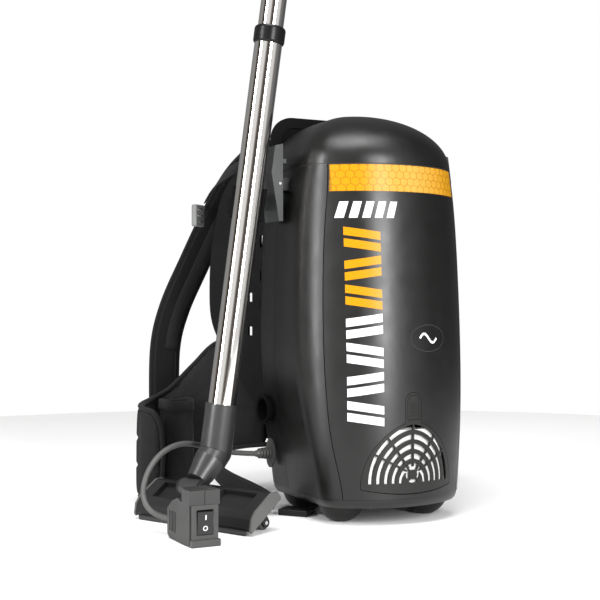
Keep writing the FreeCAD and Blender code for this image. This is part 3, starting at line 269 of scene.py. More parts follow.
NODE_LOOKS = {
    CASE: ["side_shell", "front_panel", "base_tray"], LID: ["top_lid"], REAR: ["rear_housing"],
    FRAME_PLASTIC: ["back_frame", "wand_clip", "hose_port", "riser_duct", "motor_deck"],
    GRILLE: ["exhaust_cover", "cover_tab"], LATCH: ["latch_left", "latch_right"], FOOT: ["feet"],
    SEAL: ["lid_seal", "motor_mount", "head_lip"], CHROME: ["wand_outer_tube", "wand_inner_tube"],
    COLLAR: ["wand_collar"],
    WAND_PLASTIC: ["neck_socket", "elbow"], HEAD: ["head_cover"], CAP: ["head_end_caps"],
    STEEL: ["head_sole_strips", "latch_pins", "head_pivot_pin", "wheel_axles", "motor_bearings", "armature"],
    WHEEL: ["head_wheel_front", "head_wheel_rear"], CAST: ["motor_can", "fan_impeller"],
    FILTER: ["exhaust_filter", "motor_filter"], PAPER: ["dust_bag"], CARD: ["bag_collar"],
    SWITCH: ["switch_box", "switch_clip_block"], BEZEL: ["switch_bezel", "switch_module"], ROCKER: ["rocker"],
    CABLE: ["lead_gland", "box_grommet"],
    BUCKLE: ["strap_buckles"], CLASP: ["strap_adjusters", "belt_clasps"],
}
for look, names in NODE_LOOKS.items():
    for name in names:
        nodes[name].data.materials.clear()
        nodes[name].data.materials.append(look)


# ---------------------------------------------------------------------------- mesh helpers
def piece(name, verts, faces, look, body="root", smooth=True, uvs=None):
    """A mesh object in the row frame that rides on a body; uvs holds one (u, v) per face corner."""
    mesh = bpy.data.meshes.new(name)
    mesh.from_pydata([tuple(v) for v in verts], [], faces)
    mesh.update()
    if uvs is not None:
        layer = mesh.uv_layers.new(name="along")
        for corner, uv in zip(layer.data, uvs):
            corner.uv = uv
    mesh.materials.append(look)
    made = bpy.data.objects.new(name, mesh)
    bpy.context.scene.collection.objects.link(made)
    if smooth:
        mesh.shade_smooth()
    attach(made, body)
    return made


def subdivided(made, levels=1):
    smoother = made.modifiers.new("rounding", "SUBSURF")
    smoother.levels = smoother.render_levels = levels
    return made


def catmull(points, t):
    """Point of a smooth curve through points, at t from 0 to the last index."""
    last = len(points) - 1
    number = min(int(t), last - 1)
    f = t - number
    p0, p1 = points[max(number - 1, 0)], points[number]
    p2, p3 = points[number + 1], points[min(number + 2, last)]
    return 0.5 * (2 * p1 + (p2 - p0) * f + (2 * p0 - 5 * p1 + 4 * p2 - p3) * f * f
                  + (3 * p1 - p0 - 3 * p2 + p3) * f ** 3)


def stations(path, faces, steps):
    """Evenly spread frames (place, side, out, length so far) along a strap."""
    spots, outs = [at(*p) for p in path], [Vector(f) for f in faces]
    made, length, before = [], 0.0, None
    last = len(spots) - 1
    for number in range(steps + 1):
        t = last * number / steps
        here = catmull(spots, t)
        forward = (catmull(spots, min(t + 0.02, last)) - catmull(spots, max(t - 0.02, 0))).normalized()
        out = catmull(outs, t)
        out = (out - forward * out.dot(forward)).normalized()
        length += (here - before).length if before is not None else 0.0
        made.append((here, forward.cross(out), out, length))
        before = here
    return made


def sweep(name, frames, section, look, mirror=False, waver=None):
    """A closed section of (across, out) points in metres, carried along the frames of a strap."""
    verts, faces, uvs = [], [], []
    count = len(section)
    edge = [0.0]
    for one, two in zip(section, section[1:] + section[:1]):
        edge.append(edge[-1] + math.hypot(two[0] - one[0], two[1] - one[1]))
    for here, side, out, length in frames:
        lift = waver(length) if waver else 0.0
        for across, away in section:
            spot = here + side * across + out * (away + lift)
            verts.append((2 * CASE_X - spot.x, spot.y, spot.z) if mirror else spot)
    for ring in range(len(frames) - 1):
        u0, u1 = frames[ring][3], frames[ring + 1][3]
        for k in range(count):
            a, b = ring * count + k, ring * count + (k + 1) % count
            faces.append((a, b, b + count, a + count))
            uvs += [(u0, edge[k]), (u0, edge[k + 1]), (u1, edge[k + 1]), (u1, edge[k])]
    for cap in (list(range(count))[::-1], [len(verts) - count + k for k in range(count)]):
        faces.append(tuple(cap))
        uvs += [(frames[0][3], 0.0)] * count
    if mirror:
        flipped, start_at = [], 0
        for face in faces:
            flipped += list(reversed(uvs[start_at:start_at + len(face)]))
            start_at += len(face)
        faces, uvs = [tuple(reversed(f)) for f in faces], flipped
    return piece(name, verts, faces, look, uvs=uvs)


def cushion_section(width, thickness, steps=14, seam=0.78, seam_depth=0.0012):
    """Crowned pad with pinched edges and a sewn groove along each side."""
    def height(u):
        crown = (thickness / 2) * (1 - abs(u) ** 5) ** 0.5
        return max(crown - seam_depth * math.exp(-((abs(u) - seam) / 0.05) ** 2), 0.0006)
    ups = [-1 + 2 * k / steps for k in range(steps + 1)]
    return [(u * width / 2, height(u)) for u in ups] + [(u * width / 2, -height(u)) for u in ups[::-1]]


def round_section(across, away, half_width, half_depth, steps=12):
    turns = [2 * math.pi * k / steps for k in range(steps)]
    return [(across + half_width * math.cos(a), away + half_depth * math.sin(a)) for a in turns]


def flat_section(across, away, width, thickness):
    """Band with pointed edges and faces crowned by a tenth of the half thickness."""
    edge, left, right = thickness / 2, across - width / 2, across + width / 2
    return [(left + edge, away - edge), (across, away - edge * 1.1), (right - edge, away - edge),
            (right, away), (right - edge, away + edge), (across, away + edge * 1.1),
            (left + edge, away + edge), (left, away)]


def stitches(name, frames, across, away, body="root", mirror=False, pitch=0.0042):
    """A row of raised thread dashes along a strap."""
    verts, faces = [], []
    total = frames[-1][3]
    ring = 0
    for number in range(int(total / pitch)):
        ends = []
        for length in (number * pitch, number * pitch + pitch * 0.62):
            while ring < len(frames) - 2 and frames[ring + 1][3] < length:
                ring += 1
            one, two = frames[ring], frames[ring + 1]
            f = (length - one[3]) / max(two[3] - one[3], 1e-9)
            ends.append(tuple(one[k].lerp(two[k], f) for k in range(3)))
        base = len(verts)
        for here, side, out in ends:
            for du, dv in ((-1, 0), (0, 0.7), (1, 0), (0, -0.7)):
                spot = here + side * (across + du * 0.00045) + out * (away + dv * 0.00045)
                verts.append((2 * CASE_X - spot.x, spot.y, spot.z) if mirror else spot)
        for k in range(4):
            faces.append((base + k, base + (k + 1) % 4, base + 4 + (k + 1) % 4, base + 4 + k))
        faces += [(base, base + 3, base + 2, base + 1), (base + 4, base + 5, base + 6, base + 7)]
    return piece(name, verts, faces, THREAD, body)


def puffed(made, voxel=0.005, pressure=4.0, cap=0.006, hold=None):
    """Fills a pad with air in a cloth simulation, caps how far it swells and shades it smooth."""
    bpy.context.view_layer.update()
    scene = bpy.context.scene
    mesh = made.data
    remesh = made.modifiers.new("remesh", "REMESH")
    remesh.mode, remesh.voxel_size = "VOXEL", voxel
    graph = bpy.context.evaluated_depsgraph_get()
    even = bpy.data.meshes.new_from_object(made.evaluated_get(graph))
    made.modifiers.clear()
    made.data = even
    rest = [v.co.copy() for v in even.vertices]
    if hold is not None:
        group = made.vertex_groups.new(name="held")
        for number, co in enumerate(rest):
            if hold(made.matrix_world @ co):
                group.add([number], 1.0, "REPLACE")
    cloth = made.modifiers.new("air", "CLOTH")
    cloth.settings.use_pressure = True
    cloth.settings.uniform_pressure_force = pressure
    cloth.settings.effector_weights.gravity = 0
    if hold is not None:
        cloth.settings.vertex_group_mass = "held"
    cloth.point_cache.frame_start, cloth.point_cache.frame_end = 1, 20
    for frame_number in range(1, 21):
        scene.frame_set(frame_number)
    graph = bpy.context.evaluated_depsgraph_get()
    swollen = [v.co.copy() for v in made.evaluated_get(graph).data.vertices]
    made.modifiers.clear()
    scene.frame_set(1)
    for vertex, was, now in zip(even.vertices, rest, swollen):
        move = now - was
        vertex.co = was + move * min(1.0, cap / max(move.length, 1e-9))
    bpy.data.meshes.remove(mesh)
    even.shade_smooth()
    return made


# ---------------------------------------------------------------------------- printed panel
panel_tree = BVHTree.FromPolygons([v.co for v in nodes["front_panel"].data.vertices],
                                  [p.vertices for p in nodes["front_panel"].data.polygons])


def on_panel(x, z, lift=0.25, tree=panel_tree):
    """The point of the front panel at (x, z), a little in front of its surface."""
    origin = at(x, -400, z)
    hit = tree.ray_cast(origin, Vector((0, 1, 0)))[0]
    return None if hit is None else hit - Vector((0, lift * MM, 0))


def reach(z, way):
    """How far the front panel goes to one side at that height."""
    x = 0.0
    while on_panel(x + way * 0.5, z) is not None:
        x += way * 0.5
    return x - way * 1.2


def decal(name, outlines, look, lift=0.25, step=3.0, tree=panel_tree, body="root"):
    """Flat outlines in (x, z) millimetres, cut into a fine grid and laid on the panel."""
    bm = bmesh.new()
    for outline in outlines:
        bm.faces.new([bm.verts.new((x, 0.0, z)) for x, z in outline])
    bmesh.ops.triangulate(bm, faces=bm.faces[:])
    for axis, normal in ((0, (1, 0, 0)), (2, (0, 0, 1))):
        low, high = min(v.co[axis] for v in bm.verts), max(v.co[axis] for v in bm.verts)
        for k in range(1, int((high - low) / step) + 1):
            cut = [0.0, 0.0, 0.0]
            cut[axis] = low + k * step
            geometry = bm.verts[:] + bm.edges[:] + bm.faces[:]
            bmesh.ops.bisect_plane(bm, geom=geometry, plane_co=cut, plane_no=normal)
    bmesh.ops.remove_doubles(bm, verts=bm.verts[:], dist=0.001)
    for vertex in bm.verts:
        spot = on_panel(vertex.co.x, vertex.co.z, lift, tree)
        vertex.co = spot if spot is not None else at(vertex.co.x, -150, vertex.co.z)
    bmesh.ops.recalc_face_normals(bm, faces=bm.faces[:])
    mesh = bpy.data.meshes.new(name)
    bm.to_mesh(mesh)
    bm.free()
    if mesh.polygons and sum(p.normal.y for p in mesh.polygons) > 0:
        mesh.flip_normals()
    mesh.materials.append(look)
    mesh.shade_smooth()
    made = bpy.data.objects.new(name, mesh)
    bpy.context.scene.collection.objects.link(made)
    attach(made, body)
    return made


def clipped(outline, axis, limit, keep_below):
    """A convex outline cut off at a limit along one axis."""
    kept = []
    for one, two in zip(outline, outline[1:] + outline[:1]):
        inside_one = (one[axis] <= limit) == keep_below
        inside_two = (two[axis] <= limit) == keep_below
        if inside_one:
            kept.append(one)
        if inside_one != inside_two:
            f = (limit - one[axis]) / (two[axis] - one[axis])
            kept.append(tuple(a + (b - a) * f for a, b in zip(one, two)))
    return kept


def ring(centre, radii, width, steps=48):
    """The quads of a closed outline round an ellipse."""
    quads = []
    for k in range(steps):
        corners = []
        for turn, grow in ((k, 0), (k + 1, 0), (k + 1, width), (k, width)):
            angle = 2 * math.pi * turn / steps
            corners.append((centre[0] + (radii[0] - grow) * math.cos(angle),
                            centre[1] + (radii[1] - grow) * math.sin(angle)))
        quads.append(corners)
    return quads


def ribbon(points, width):
    """The quads of an even line drawn through points."""
    edges = []
    for k, (x, z) in enumerate(points):
        before, after = points[max(k - 1, 0)], points[min(k + 1, len(points) - 1)]
        dx, dz = after[0] - before[0], after[1] - before[1]
        size = math.hypot(dx, dz)
        edges.append(((x - dz / size * width / 2, z + dx / size * width / 2),
                      (x + dz / size * width / 2, z - dx / size * width / 2)))
    return [[a[0], a[1], b[1], b[0]] for a, b in zip(edges, edges[1:])]


BAND_LOW, BAND_HIGH = 447.0, 483.5
levels = [BAND_LOW + (BAND_HIGH - BAND_LOW) * k / 12 for k in range(13)]
lefts, rights = [reach(z, -1) for z in levels], [reach(z, 1) for z in levels]
band_outline = list(zip(lefts, levels)) + list(zip(rights, levels))[::-1]
decal("band_print", [band_outline], BAND_LINE, 0.15)

CELL, LINE = 6.2, 0.55
cells = []
for row in range(-1, 5):
    for column in range(-12, 13):
        x = (column + (row % 2) / 2) * CELL * math.sqrt(3)
        z = BAND_LOW + row * CELL * 1.5 + 4
        slopes = [math.radians(60 * k) for k in range(6)]
        cell = [(x + (CELL - LINE) * math.sin(a), z + (CELL - LINE) * math.cos(a)) for a in slopes]
        for axis, limit, below in ((1, BAND_LOW + 0.4, False), (1, BAND_HIGH - 0.4, True),
                                   (0, max(lefts) + 0.6, False), (0, min(rights) - 0.6, True)):
            if cell:
                cell = clipped(cell, axis, limit, below)
        if len(cell) > 2:
            cells.append(cell)
decal("band_cells", cells, BAND_CELL, 0.3, 4.0)


def slanted(low_x, high_x, low_z, high_z, lean):
    return [(low_x, low_z), (high_x, low_z + lean), (high_x, high_z + lean), (low_x, high_z)]


# Upright graphic: seven generic blocks of two slanted bars each, three amber above four white.
BLOCKS, WHITE_BLOCKS, BLOCK_PITCH, BLOCK_FOOT, BLOCK_LEAN = 7, 4, 38.6, 134.0, 7.0
BLOCK_SPAN = (-86, -42)
BARS = ((0, 11), (15.5, 26.5))
for word, look, chosen in (("white_blocks", WHITE_PRINT, range(WHITE_BLOCKS)),
                           ("amber_blocks", AMBER_PRINT, range(WHITE_BLOCKS, BLOCKS))):
    shapes = []
    for block in chosen:
        foot_z = BLOCK_FOOT + block * BLOCK_PITCH
        lean = BLOCK_LEAN if block % 2 else -BLOCK_LEAN
        start_z = foot_z + max(-lean, 0)
        for low, high in BARS:
            shapes.append(slanted(*BLOCK_SPAN, start_z + low, start_z + high, lean))
    decal(word, shapes, look)
MARK_FOOT, MARK_TOP, MARK_PITCH, MARK_LEAN = 411, 433, 15.5, 0.28
marks = [slanted(-95 + MARK_PITCH * k, -85 + MARK_PITCH * k, MARK_FOOT, MARK_TOP, 0) for k in range(5)]
marks = [[(x + (z - MARK_FOOT) * MARK_LEAN, z) for x, z in mark] for mark in marks]
decal("small_marks", marks, WHITE_PRINT)

BADGE, BADGE_RADII = (27.0, 250.0), (30.0, 18.5)
decal("badge_ring", ring(BADGE, BADGE_RADII, 1.0), GREY_PRINT)
wave = [(BADGE[0] - 15 + 30 * k / 24, BADGE[1] + 6 * math.sin(2 * math.pi * k / 24)) for k in range(25)]
decal("badge_wave", ribbon(wave, 3.2), WHITE_PRINT)

# ---------------------------------------------------------------------------- exhaust cover
FLEECE_DEPTH, FLEECE_FOOT, FLEECE_TALL, FLEECE_BEND = -133.4, 56.0, 72.0, 147.0
fleece_verts, fleece_faces = [], []
rows, columns = 20, 30
for i in range(rows + 1):
    z = FLEECE_FOOT + FLEECE_TALL * i / rows
    half = 60.0 * math.sqrt(max(1 - ((z - 54) / 80.0) ** 2, 0.01))
    for j in range(columns + 1):
        x = -half + 2 * half * j / columns
        fleece_verts.append(at(x, FLEECE_DEPTH + x * x / (2 * FLEECE_BEND), z))
for i in range(rows):
    for j in range(columns):
        a = i * (columns + 1) + j
        fleece_faces.append((a, a + 1, a + columns + 2, a + columns + 1))
piece("filter_fleece", fleece_verts, fleece_faces, FILTER, "exhaust")


def rounded_bar(name, centre, half, radius, look, body, turn=0.0):
    """A small moulded bar with rounded edges; half holds its half sizes in millimetres."""
    bm = bmesh.new()
    bmesh.ops.create_cube(bm, size=2.0)
    for vertex in bm.verts:
        x, y, z = (c * h for c, h in zip(vertex.co, half))
        c, s = math.cos(turn), math.sin(turn)
        vertex.co = at(centre[0] + x * c - y * s, centre[1] + x * s + y * c, centre[2] + z)
    bmesh.ops.bevel(bm, geom=bm.edges[:], offset=radius * MM, segments=3, affect="EDGES", profile=0.5)
    mesh = bpy.data.meshes.new(name)
    bm.to_mesh(mesh)
    bm.free()
    mesh.materials.append(look)
    mesh.shade_smooth()
    made = bpy.data.objects.new(name, mesh)
    bpy.context.scene.collection.objects.link(made)
    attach(made, body)
    return made


for number in range(5):
    rounded_bar(f"tab_rib_{number}", (0, -138.9, 146.5 + number * 4.2), (5.5, 0.9, 0.8), 0.5, GRILLE, "tab")

# ---------------------------------------------------------------------------- shoulder straps
STRAP_PATH = [(84, 122, 538), (88, 168, 530), (102, 214, 494), (121, 254, 434), (145, 284, 362),
              (171, 304, 290), (184, 312, 225), (187, 308, 124)]
STRAP_FACES = [(0.1, 0.2, 1), (0.1, 0.4, 1), (0, 0.8, 0.7), (-0.1, 0.9, 0.4), (-0.15, 0.95, 0.25),
               (-0.1, 1, 0.15), (0, 1, 0), (0, 1, -0.1)]
WIDTH, THICK = 50 * MM, 11 * MM
strap_frames = stations(STRAP_PATH, STRAP_FACES, 90)
for word, mirror in (("right", False), ("left", True)):
    crowned = cushion_section(WIDTH - 3 * MM, THICK)
    pad = sweep(f"strap_pad_{word}", strap_frames, crowned, MESH, mirror)
    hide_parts(f"shoulder_strap_{word}")
    for number, side in enumerate((-1, 1)):
        edge = round_section(side * (WIDTH / 2 - 3.2 * MM), 0, 4.0 * MM, 3.4 * MM)
        sweep(f"strap_binding_{word}_{number}", strap_frames, edge, TAPE, mirror)
        stitches(f"strap_stitch_{word}_{number}", strap_frames, side * (WIDTH / 2 - 7.8 * MM), -THICK * 0.43,
                 mirror=mirror)
    under = flat_section(-8 * MM, -THICK / 2 - 0.5 * MM, 20 * MM, 1.6 * MM)
    sweep(f"strap_webbing_{word}", strap_frames[:78], under, WEBBING, mirror)
    over = flat_section(0, THICK / 2 + 0.5 * MM, 24 * MM, 1.6 * MM)
    sweep(f"strap_top_webbing_{word}", strap_frames[22:], over, WEBBING, mirror)

RIBBONS = {
    "load_lifters": ([(114, 128, 512), (133, 162, 498), (145, 196, 478), (152, 219, 455)],
                     [(0.79, -0.61, 0), (0.8, -0.5, 0.2), (0.7, 0.1, 0.7), (0.7, 0.3, 0.6)], 15.6),
    "lower_webbings": ([(186, 300, 126), (165, 252, 98), (126, 200, 88), (88, 151, 100), (62, 100.6, 128)],
                       [(1, 0.3, 0.2), (1, -0.5, 0.1), (1, -0.7, 0), (1, -0.7, 0), (1, -0.5, 0)], 20.8),
    "belt_webbings": ([(170, 142, 62), (184, 105, 56), (178, 68, 44), (150, 38, 28), (126, 22, 14)],
                      [(1, 0.3, 0), (1, 0, 0), (0.9, -0.4, 0.2), (0.6, -0.6, 0.5), (0.3, -0.3, 0.9)], 26.6),
}
for word, (path, faces, width) in RIBBONS.items():
    ribbon_frames = stations(path, faces, 40)
    tape_section = flat_section(0, 0, width * MM, 1.8 * MM)
    pair = [sweep(f"{word}_{side}", ribbon_frames, tape_section, WEBBING, mirror)
            for side, mirror in (("right", False), ("left", True))]
    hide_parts(word)
    for side, mirror in (("right", False), ("left", True)):
        for number, across in enumerate((-0.36, 0.36)):
            stitches(f"{word}_stitch_{side}_{number}", ribbon_frames, across * width * MM, 1.1 * MM,
                     mirror=mirror)


# ---------------------------------------------------------------------------- hip pads, pocket and back pad
HIP_STATIONS = [(97, 114, 84, 236), (124, 150, 78, 246), (150, 184, 66, 240), (176, 208, 42, 208),
                (208, 224, 20, 172), (238, 224, 10, 156), (260, 206, 8, 150), (267, 182, 8, 146),
                (260, 162, 9, 142), (247, 152, 14, 132)]


def hip_frames(steps):
    """Places in plan with their lowest and highest point; the far end rounds off."""
    spots = [Vector((x, y, low)) for x, y, low, high in HIP_STATIONS]
    tops = [Vector((x, y, high)) for x, y, low, high in HIP_STATIONS]
    last = len(spots) - 1
    made = []
    for number in range(steps + 1):
        t = last * number / steps
        low, high = catmull(spots, t), catmull(tops, t)
        ahead, behind = catmull(spots, min(t + 0.05, last)), catmull(spots, max(t - 0.05, 0))
        run = Vector((ahead.x - behind.x, ahead.y - behind.y, 0)).normalized()
        closing = max(0.0, (t - (last - 1.1)) / 1.1)
        middle, half = (low.z + high.z) / 2, (high.z - low.z) / 2
        half *= math.sqrt(max(1 - closing ** 2.6, 0.02))
        made.append((low.x, low.y, middle - half, middle + half, run))
    return made


def hip_pad(word, mirror):
    steps_along, steps_up, thick = 44, 20, 12.0
    side_of = -1 if mirror else 1
    rows_of = hip_frames(steps_along)
    verts, faces = [], []
    for x, y, low, high, run in rows_of:
        out = Vector((run.y, -run.x, 0))
        for way in (1, -1):
            for k in range(steps_up + 1):
                f = (1 - math.cos(math.pi * k / steps_up)) / 2
                if way < 0:
                    f = 1 - f
                crown = math.sqrt(max(1 - abs(2 * f - 1) ** 6, 0.0))
                depth = thick / 2 * crown
                spot = Vector((x, y, low + (high - low) * f)) + out * way * depth
                verts.append(at(side_of * spot.x, spot.y, spot.z))
    count = 2 * (steps_up + 1)
    for i in range(len(rows_of) - 1):
        for k in range(count):
            a, b = i * count + k, i * count + (k + 1) % count
            quad = (a, b, b + count, a + count)
            faces.append(quad if mirror else quad[::-1])
    for cap in (list(range(count)), [len(verts) - count + k for k in range(count)][::-1]):
        faces.append(tuple(cap) if not mirror else tuple(cap[::-1]))
    made = piece(f"hip_cushion_{word}", verts, faces, NYLON)
    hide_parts(f"hip_pad_{word}")
    puffed(made, 0.005, 4.0, 0.004)
    grooved(made, rows_of, side_of)
    # binding tape round the pad's edge
    path = [(side_of * x, y, high - 3.5) for x, y, low, high, run in rows_of]
    path += [(side_of * x, y, low + 3.5) for x, y, low, high, run in rows_of[::-1]]
    outs = [(side_of * run.y, -run.x, 0) for x, y, low, high, run in rows_of]
    outs += outs[::-1]
    tape_frames = stations(path, outs, 150)
    sweep(f"hip_binding_{word}", tape_frames, round_section(0, 0, 3.6 * MM, 5.4 * MM), TAPE)
    return made


def grooved(made, rows_of, side_of):
    """Three sewn channels across the pad, pressed into both faces."""
    spots = [Vector((side_of * x, y, 0)) for x, y, low, high, run in rows_of]
    inverse = made.matrix_world.inverted()
    lines = [rows_of[int(len(rows_of) * share)] for share in (0.42, 0.58, 0.76)]
    for vertex in made.data.vertices:
        world = made.matrix_world @ vertex.co
        x, y, z = (world.x - CASE_X) / MM, (world.y - CASE_Y) / MM, world.z / MM
        press = 0.0
        for px, py, low, high, run in lines:
            along_pad = (x - side_of * px) * side_of * run.x + (y - py) * run.y
            press += math.exp(-(along_pad / 3.0) ** 2)
        for share in (0.36, 0.64):
            nearest = min(range(len(spots)), key=lambda n: (spots[n].x - x) ** 2 + (spots[n].y - y) ** 2)
            low, high = rows_of[nearest][2], rows_of[nearest][3]
            press += math.exp(-((z - low - (high - low) * share) / 2.6) ** 2)
        push = made.matrix_world.to_3x3() @ vertex.normal * min(press, 1.0) * 2.6 * MM
        vertex.co = inverse @ (world - push)


for word, mirror in (("right", False), ("left", True)):
    hip_pad(word, mirror)


def pocket():
    """Open tool pocket: a sagging lined shell with a bound rim, banded at its top."""
    low_z, high_z = 30.0, 154.0
    centre, half = (-214.0, 184.0), (22.0, 21.0)
    rings, around = 26, 48
    verts, faces = [], []

    def wall(inset, f):
        z = low_z + inset + (high_z - low_z - inset) * f
        bulge = 1.0 + 0.10 * math.sin(math.pi * min(f * 1.15, 1.0)) - 0.03 * f
        for k in range(around):
            a = 2 * math.pi * k / around
            c, s = math.cos(a), math.sin(a)
            round_x, round_y = abs(c) ** 0.5 * math.copysign(1, c), abs(s) ** 0.5 * math.copysign(1, s)
            fold = (0.9 * math.sin(5 * a + 3.2 * f) * math.sin(math.pi * f)
                    + 0.6 * math.sin(11 * a - 7 * f) * (1 - f))
            verts.append(at(centre[0] + (half[0] * bulge - inset + fold) * round_x,
                            centre[1] + (half[1] * bulge - inset + fold) * round_y,
                            z + 1.6 * math.cos(2 * a) * f))
    for number in range(rings + 1):
        wall(0.0, number / rings)
    for number in range(rings + 1):
        wall(1.8, 1 - number / rings)
    count = 2 * (rings + 1)
    for i in range(count - 1):
        for k in range(around):
            a, b = i * around + k, i * around + (k + 1) % around
            faces.append((a, b, b + around, a + around))
    faces.append(tuple(range(around))[::-1])
    faces.append(tuple((count - 1) * around + k for k in range(around)))
    made = piece("pocket_shell", verts, faces, NYLON)
    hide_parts("hip_pocket")
    subdivided(made)
    for name, z, tall in (("pocket_rim_band", 146.0, 8.0), ("pocket_foot_band", 36.0, 5.0)):
        share = (z - low_z) / (high_z - low_z)
        bulge = 1.0 + 0.10 * math.sin(math.pi * min(share * 1.15, 1.0)) - 0.03 * share
        path, outs = [], []
        for k in range(around + 1):
            a = 2 * math.pi * k / around
            c, s = math.cos(a), math.sin(a)
            round_x, round_y = abs(c) ** 0.5 * math.copysign(1, c), abs(s) ** 0.5 * math.copysign(1, s)
            path.append((centre[0] + (half[0] * bulge + 1.4) * round_x,
                         centre[1] + (half[1] * bulge + 1.4) * round_y,
                         z + 1.6 * math.cos(2 * a) * share))
            outs.append((c, s, 0))
        band_frames = stations(path, outs, 96)
        sweep(name, band_frames, flat_section(0, 0, tall * 2 * MM, 1.8 * MM), TAPE)


pocket()

pad_low, pad_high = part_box("back_pad")
bm = bmesh.new()
bmesh.ops.create_cube(bm, size=1.0)
middle, span = (pad_low + pad_high) / 2, pad_high - pad_low
for vertex in bm.verts:
    vertex.co = Vector([m + c * (s - 0.004) for m, c, s in zip(middle, vertex.co, span)])
mesh = bpy.data.meshes.new("back_cushion")
bm.to_mesh(mesh)
bm.free()
mesh.materials.append(LINING)
back_cushion = bpy.data.objects.new("back_cushion", mesh)
bpy.context.scene.collection.objects.link(back_cushion)
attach(back_cushion, "root")
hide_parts("back_pad")
puffed(back_cushion, 0.006, 4.0, 0.005)
for vertex in back_cushion.data.vertices:
    if vertex.co.y > middle.y:
        press = 0.0
        for share in (0.2, 0.4, 0.6, 0.8):
            line_z = pad_low.z + span.z * share - 0.25 * abs(vertex.co.x - middle.x)
            press += math.exp(-((vertex.co.z - line_z) / 0.005) ** 2)
        press += math.exp(-((vertex.co.x - middle.x) / 0.006) ** 2)
        vertex.co.y -= min(press, 1.0) * 0.0045

# ---------------------------------------------------------------------------- remote lead
LEAD = [(-140.15, 60, 82), (-180.15, 59, 85), (-219, 50, 97), (-258, 38, 107), (-294, 22, 100),
        (-319, 12, 78), (-330, 5, 52), (-331.5, -10, 34), (-323.153, -29.607, 22), (-312.753, -50.607, 21)]
LEAD_DIAMETER = 7.5 * MM
curve = bpy.data.curves.new("remote_cable", "CURVE")
curve.dimensions = "3D"
curve.resolution_u = 24
curve.bevel_depth = LEAD_DIAMETER / 2
curve.bevel_resolution = 8
curve.use_fill_caps = True
spline = curve.splines.new("NURBS")
spline.points.add(len(LEAD) - 1)
for point, spot in zip(spline.points, LEAD):
    point.co = (*at(*spot), 1.0)
spline.order_u = 3
spline.use_endpoint_u = True
curve.materials.append(CABLE)
cable = bpy.data.objects.new("remote_cable", curve)
bpy.context.scene.collection.objects.link(cable)
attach(cable, "root")
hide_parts("remote_lead")


# ---------------------------------------------------------------------------- switch marks
def flat_mark(name, outlines, look, body):
    """Printed mark on the rocker's leaning face."""
    tree = BVHTree.FromPolygons([v.co for v in nodes["rocker"].data.vertices],
                                [p.vertices for p in nodes["rocker"].data.polygons])
    return decal(name, outlines, look, 0.15, 2.0, tree, body)


ROCKER_X, ROCKER_Z = -301.5, 30.0
STROKE_HALF, STROKE_LOW, STROKE_HIGH = 0.9, 3.5, 9.5
stroke = [(ROCKER_X - STROKE_HALF, ROCKER_Z + STROKE_LOW), (ROCKER_X + STROKE_HALF, ROCKER_Z + STROKE_LOW),
          (ROCKER_X + STROKE_HALF, ROCKER_Z + STROKE_HIGH), (ROCKER_X - STROKE_HALF, ROCKER_Z + STROKE_HIGH)]
flat_mark("rocker_on", [stroke], WHITE_PRINT, "switch_rocker")
flat_mark("rocker_off", ring((ROCKER_X, ROCKER_Z - 7.0), (3.2, 3.2), 1.3, 24), WHITE_PRINT, "switch_rocker")

# ---------------------------------------------------------------------------- studio
floor_mesh = bpy.data.meshes.new("studio_floor")
FLOOR_RADIUS, FLOOR_SIDES = 1.6, 96
rim = [2 * math.pi * k / FLOOR_SIDES for k in range(FLOOR_SIDES)]
circle = [(FLOOR_RADIUS * math.cos(a), FLOOR_RADIUS * math.sin(a), 0) for a in rim]
floor_mesh.from_pydata(circle, [], [range(FLOOR_SIDES)])
floor_look, floor_tree, floor_shader, floor_place = start("floor", 0.8)
floor_tint = tinted(floor_tree, noise(floor_tree, floor_place, 3.0), (0.90, 0.90, 0.90), (0.93, 0.93, 0.93))
floor_tree.links.new(floor_tint, floor_shader.inputs["Base Color"])
floor_shader.inputs["Specular IOR Level"].default_value = 0.1
floor_mesh.materials.append(floor_look)
floor = bpy.data.objects.new("studio_floor", floor_mesh)
bpy.context.scene.collection.objects.link(floor)

world = bpy.data.worlds.new("studio")
bpy.context.scene.world = world
world.use_nodes = True
sky = world.node_tree
backdrop = sky.nodes["Background"]
way = node(sky, "SeparateXYZ", {"Vector": node(sky, "TexCoord").outputs["Generated"]})
ahead = node(sky, "Math", {0: way.outputs["Y"]}, operation="MULTIPLY")
ahead.inputs[1].default_value = -1.0
turn = node(sky, "Math", {0: way.outputs["X"], 1: ahead.outputs[0]}, operation="ARCTAN2").outputs[0]
share = node(sky, "MapRange", {"Value": turn, "From Min": -math.pi, "From Max": math.pi}).outputs["Result"]
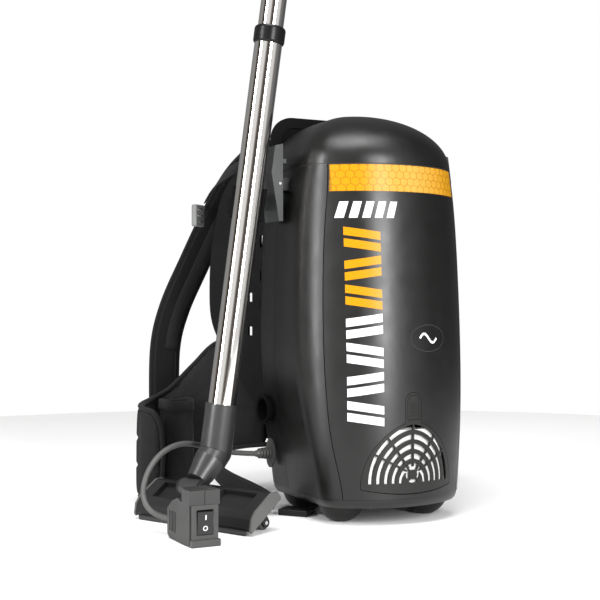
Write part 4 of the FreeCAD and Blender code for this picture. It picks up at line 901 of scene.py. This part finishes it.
# Studio walls all round, by the angle from straight ahead of the case: degrees, colour.
WALLS = [(-180, (0.20, 0.20, 0.20)), (-160, (0.30, 0.30, 0.30)), (-122, (0.34, 0.34, 0.34)),
         (-110, (0.12, 0.10, 0.08)), (-99, (0.03, 0.022, 0.018)), (-91, (0.05, 0.04, 0.03)),
         (-84, (0.60, 0.59, 0.57)), (-76, (0.95, 0.94, 0.92)), (-40, (0.90, 0.90, 0.90)),
         (-31, (0.30, 0.28, 0.26)), (-22, (0.07, 0.05, 0.04)), (-12, (0.12, 0.11, 0.10)),
         (0, (0.36, 0.36, 0.36)), (12, (0.85, 0.85, 0.85)), (42, (0.80, 0.80, 0.80)),
         (54, (0.24, 0.24, 0.24)), (72, (0.20, 0.20, 0.20)), (100, (0.09, 0.09, 0.10)),
         (180, (0.26, 0.26, 0.26))]
walls = node(sky, "ValToRGB", {"Fac": share})
ramp = walls.color_ramp
for number, (degrees, tone) in enumerate(WALLS):
    spot = (degrees + 180) / 360
    stop = ramp.elements[0] if number == 0 else ramp.elements[1] if number == 1 else ramp.elements.new(spot)
    stop.position = spot
    stop.color = (*tone, 1.0)
seen = node(sky, "LightPath").outputs["Is Camera Ray"]
shown = node(sky, "Mix", {0: seen, 6: walls.outputs["Color"], 7: (1, 1, 1, 1)}, data_type="RGBA").outputs[2]
sky.links.new(shown, backdrop.inputs["Color"])
backdrop.inputs["Strength"].default_value = 1.0


def softbox(name, place, target, width, height, power):
    light = bpy.data.lights.new(name, "AREA")
    light.shape, light.size, light.size_y, light.energy = "RECTANGLE", width, height, power
    made = bpy.data.objects.new(name, light)
    made.location = place
    made.rotation_euler = (Vector(target) - Vector(place)).to_track_quat("-Z", "Y").to_euler()
    bpy.context.scene.collection.objects.link(made)
    return made


softbox("front_box", (-0.02, -1.95, 0.75), (0.0, 0, 0.3), 0.40, 1.3, 42)
softbox("left_box", (-1.74, -0.36, 0.8), (0, 0, 0.3), 0.34, 1.5, 31)
softbox("top_box", (-0.2, -0.5, 2.2), (0, 0, 0.3), 1.6, 1.2, 20)
sun = bpy.data.lights.new("overhead", "SUN")
sun.energy, sun.angle = 1.1, math.radians(30)
sun_object = bpy.data.objects.new("overhead", sun)
sun_object.rotation_euler = (math.radians(12), math.radians(-10), 0)
bpy.context.scene.collection.objects.link(sun_object)

camera_data = bpy.data.cameras.new("photo_view")
camera_data.lens, camera_data.sensor_width = 70.08, 36.0
camera_data.shift_y = 0.0117
camera_data.dof.use_dof = False
camera = bpy.data.objects.new("photo_view", camera_data)
camera.location = at(-843.5, -1460, 292)
camera.rotation_euler = (math.radians(90), 0, math.radians(-27))
bpy.context.scene.collection.objects.link(camera)
bpy.context.scene.camera = camera
bpy.context.scene.view_settings.view_transform = "Standard"
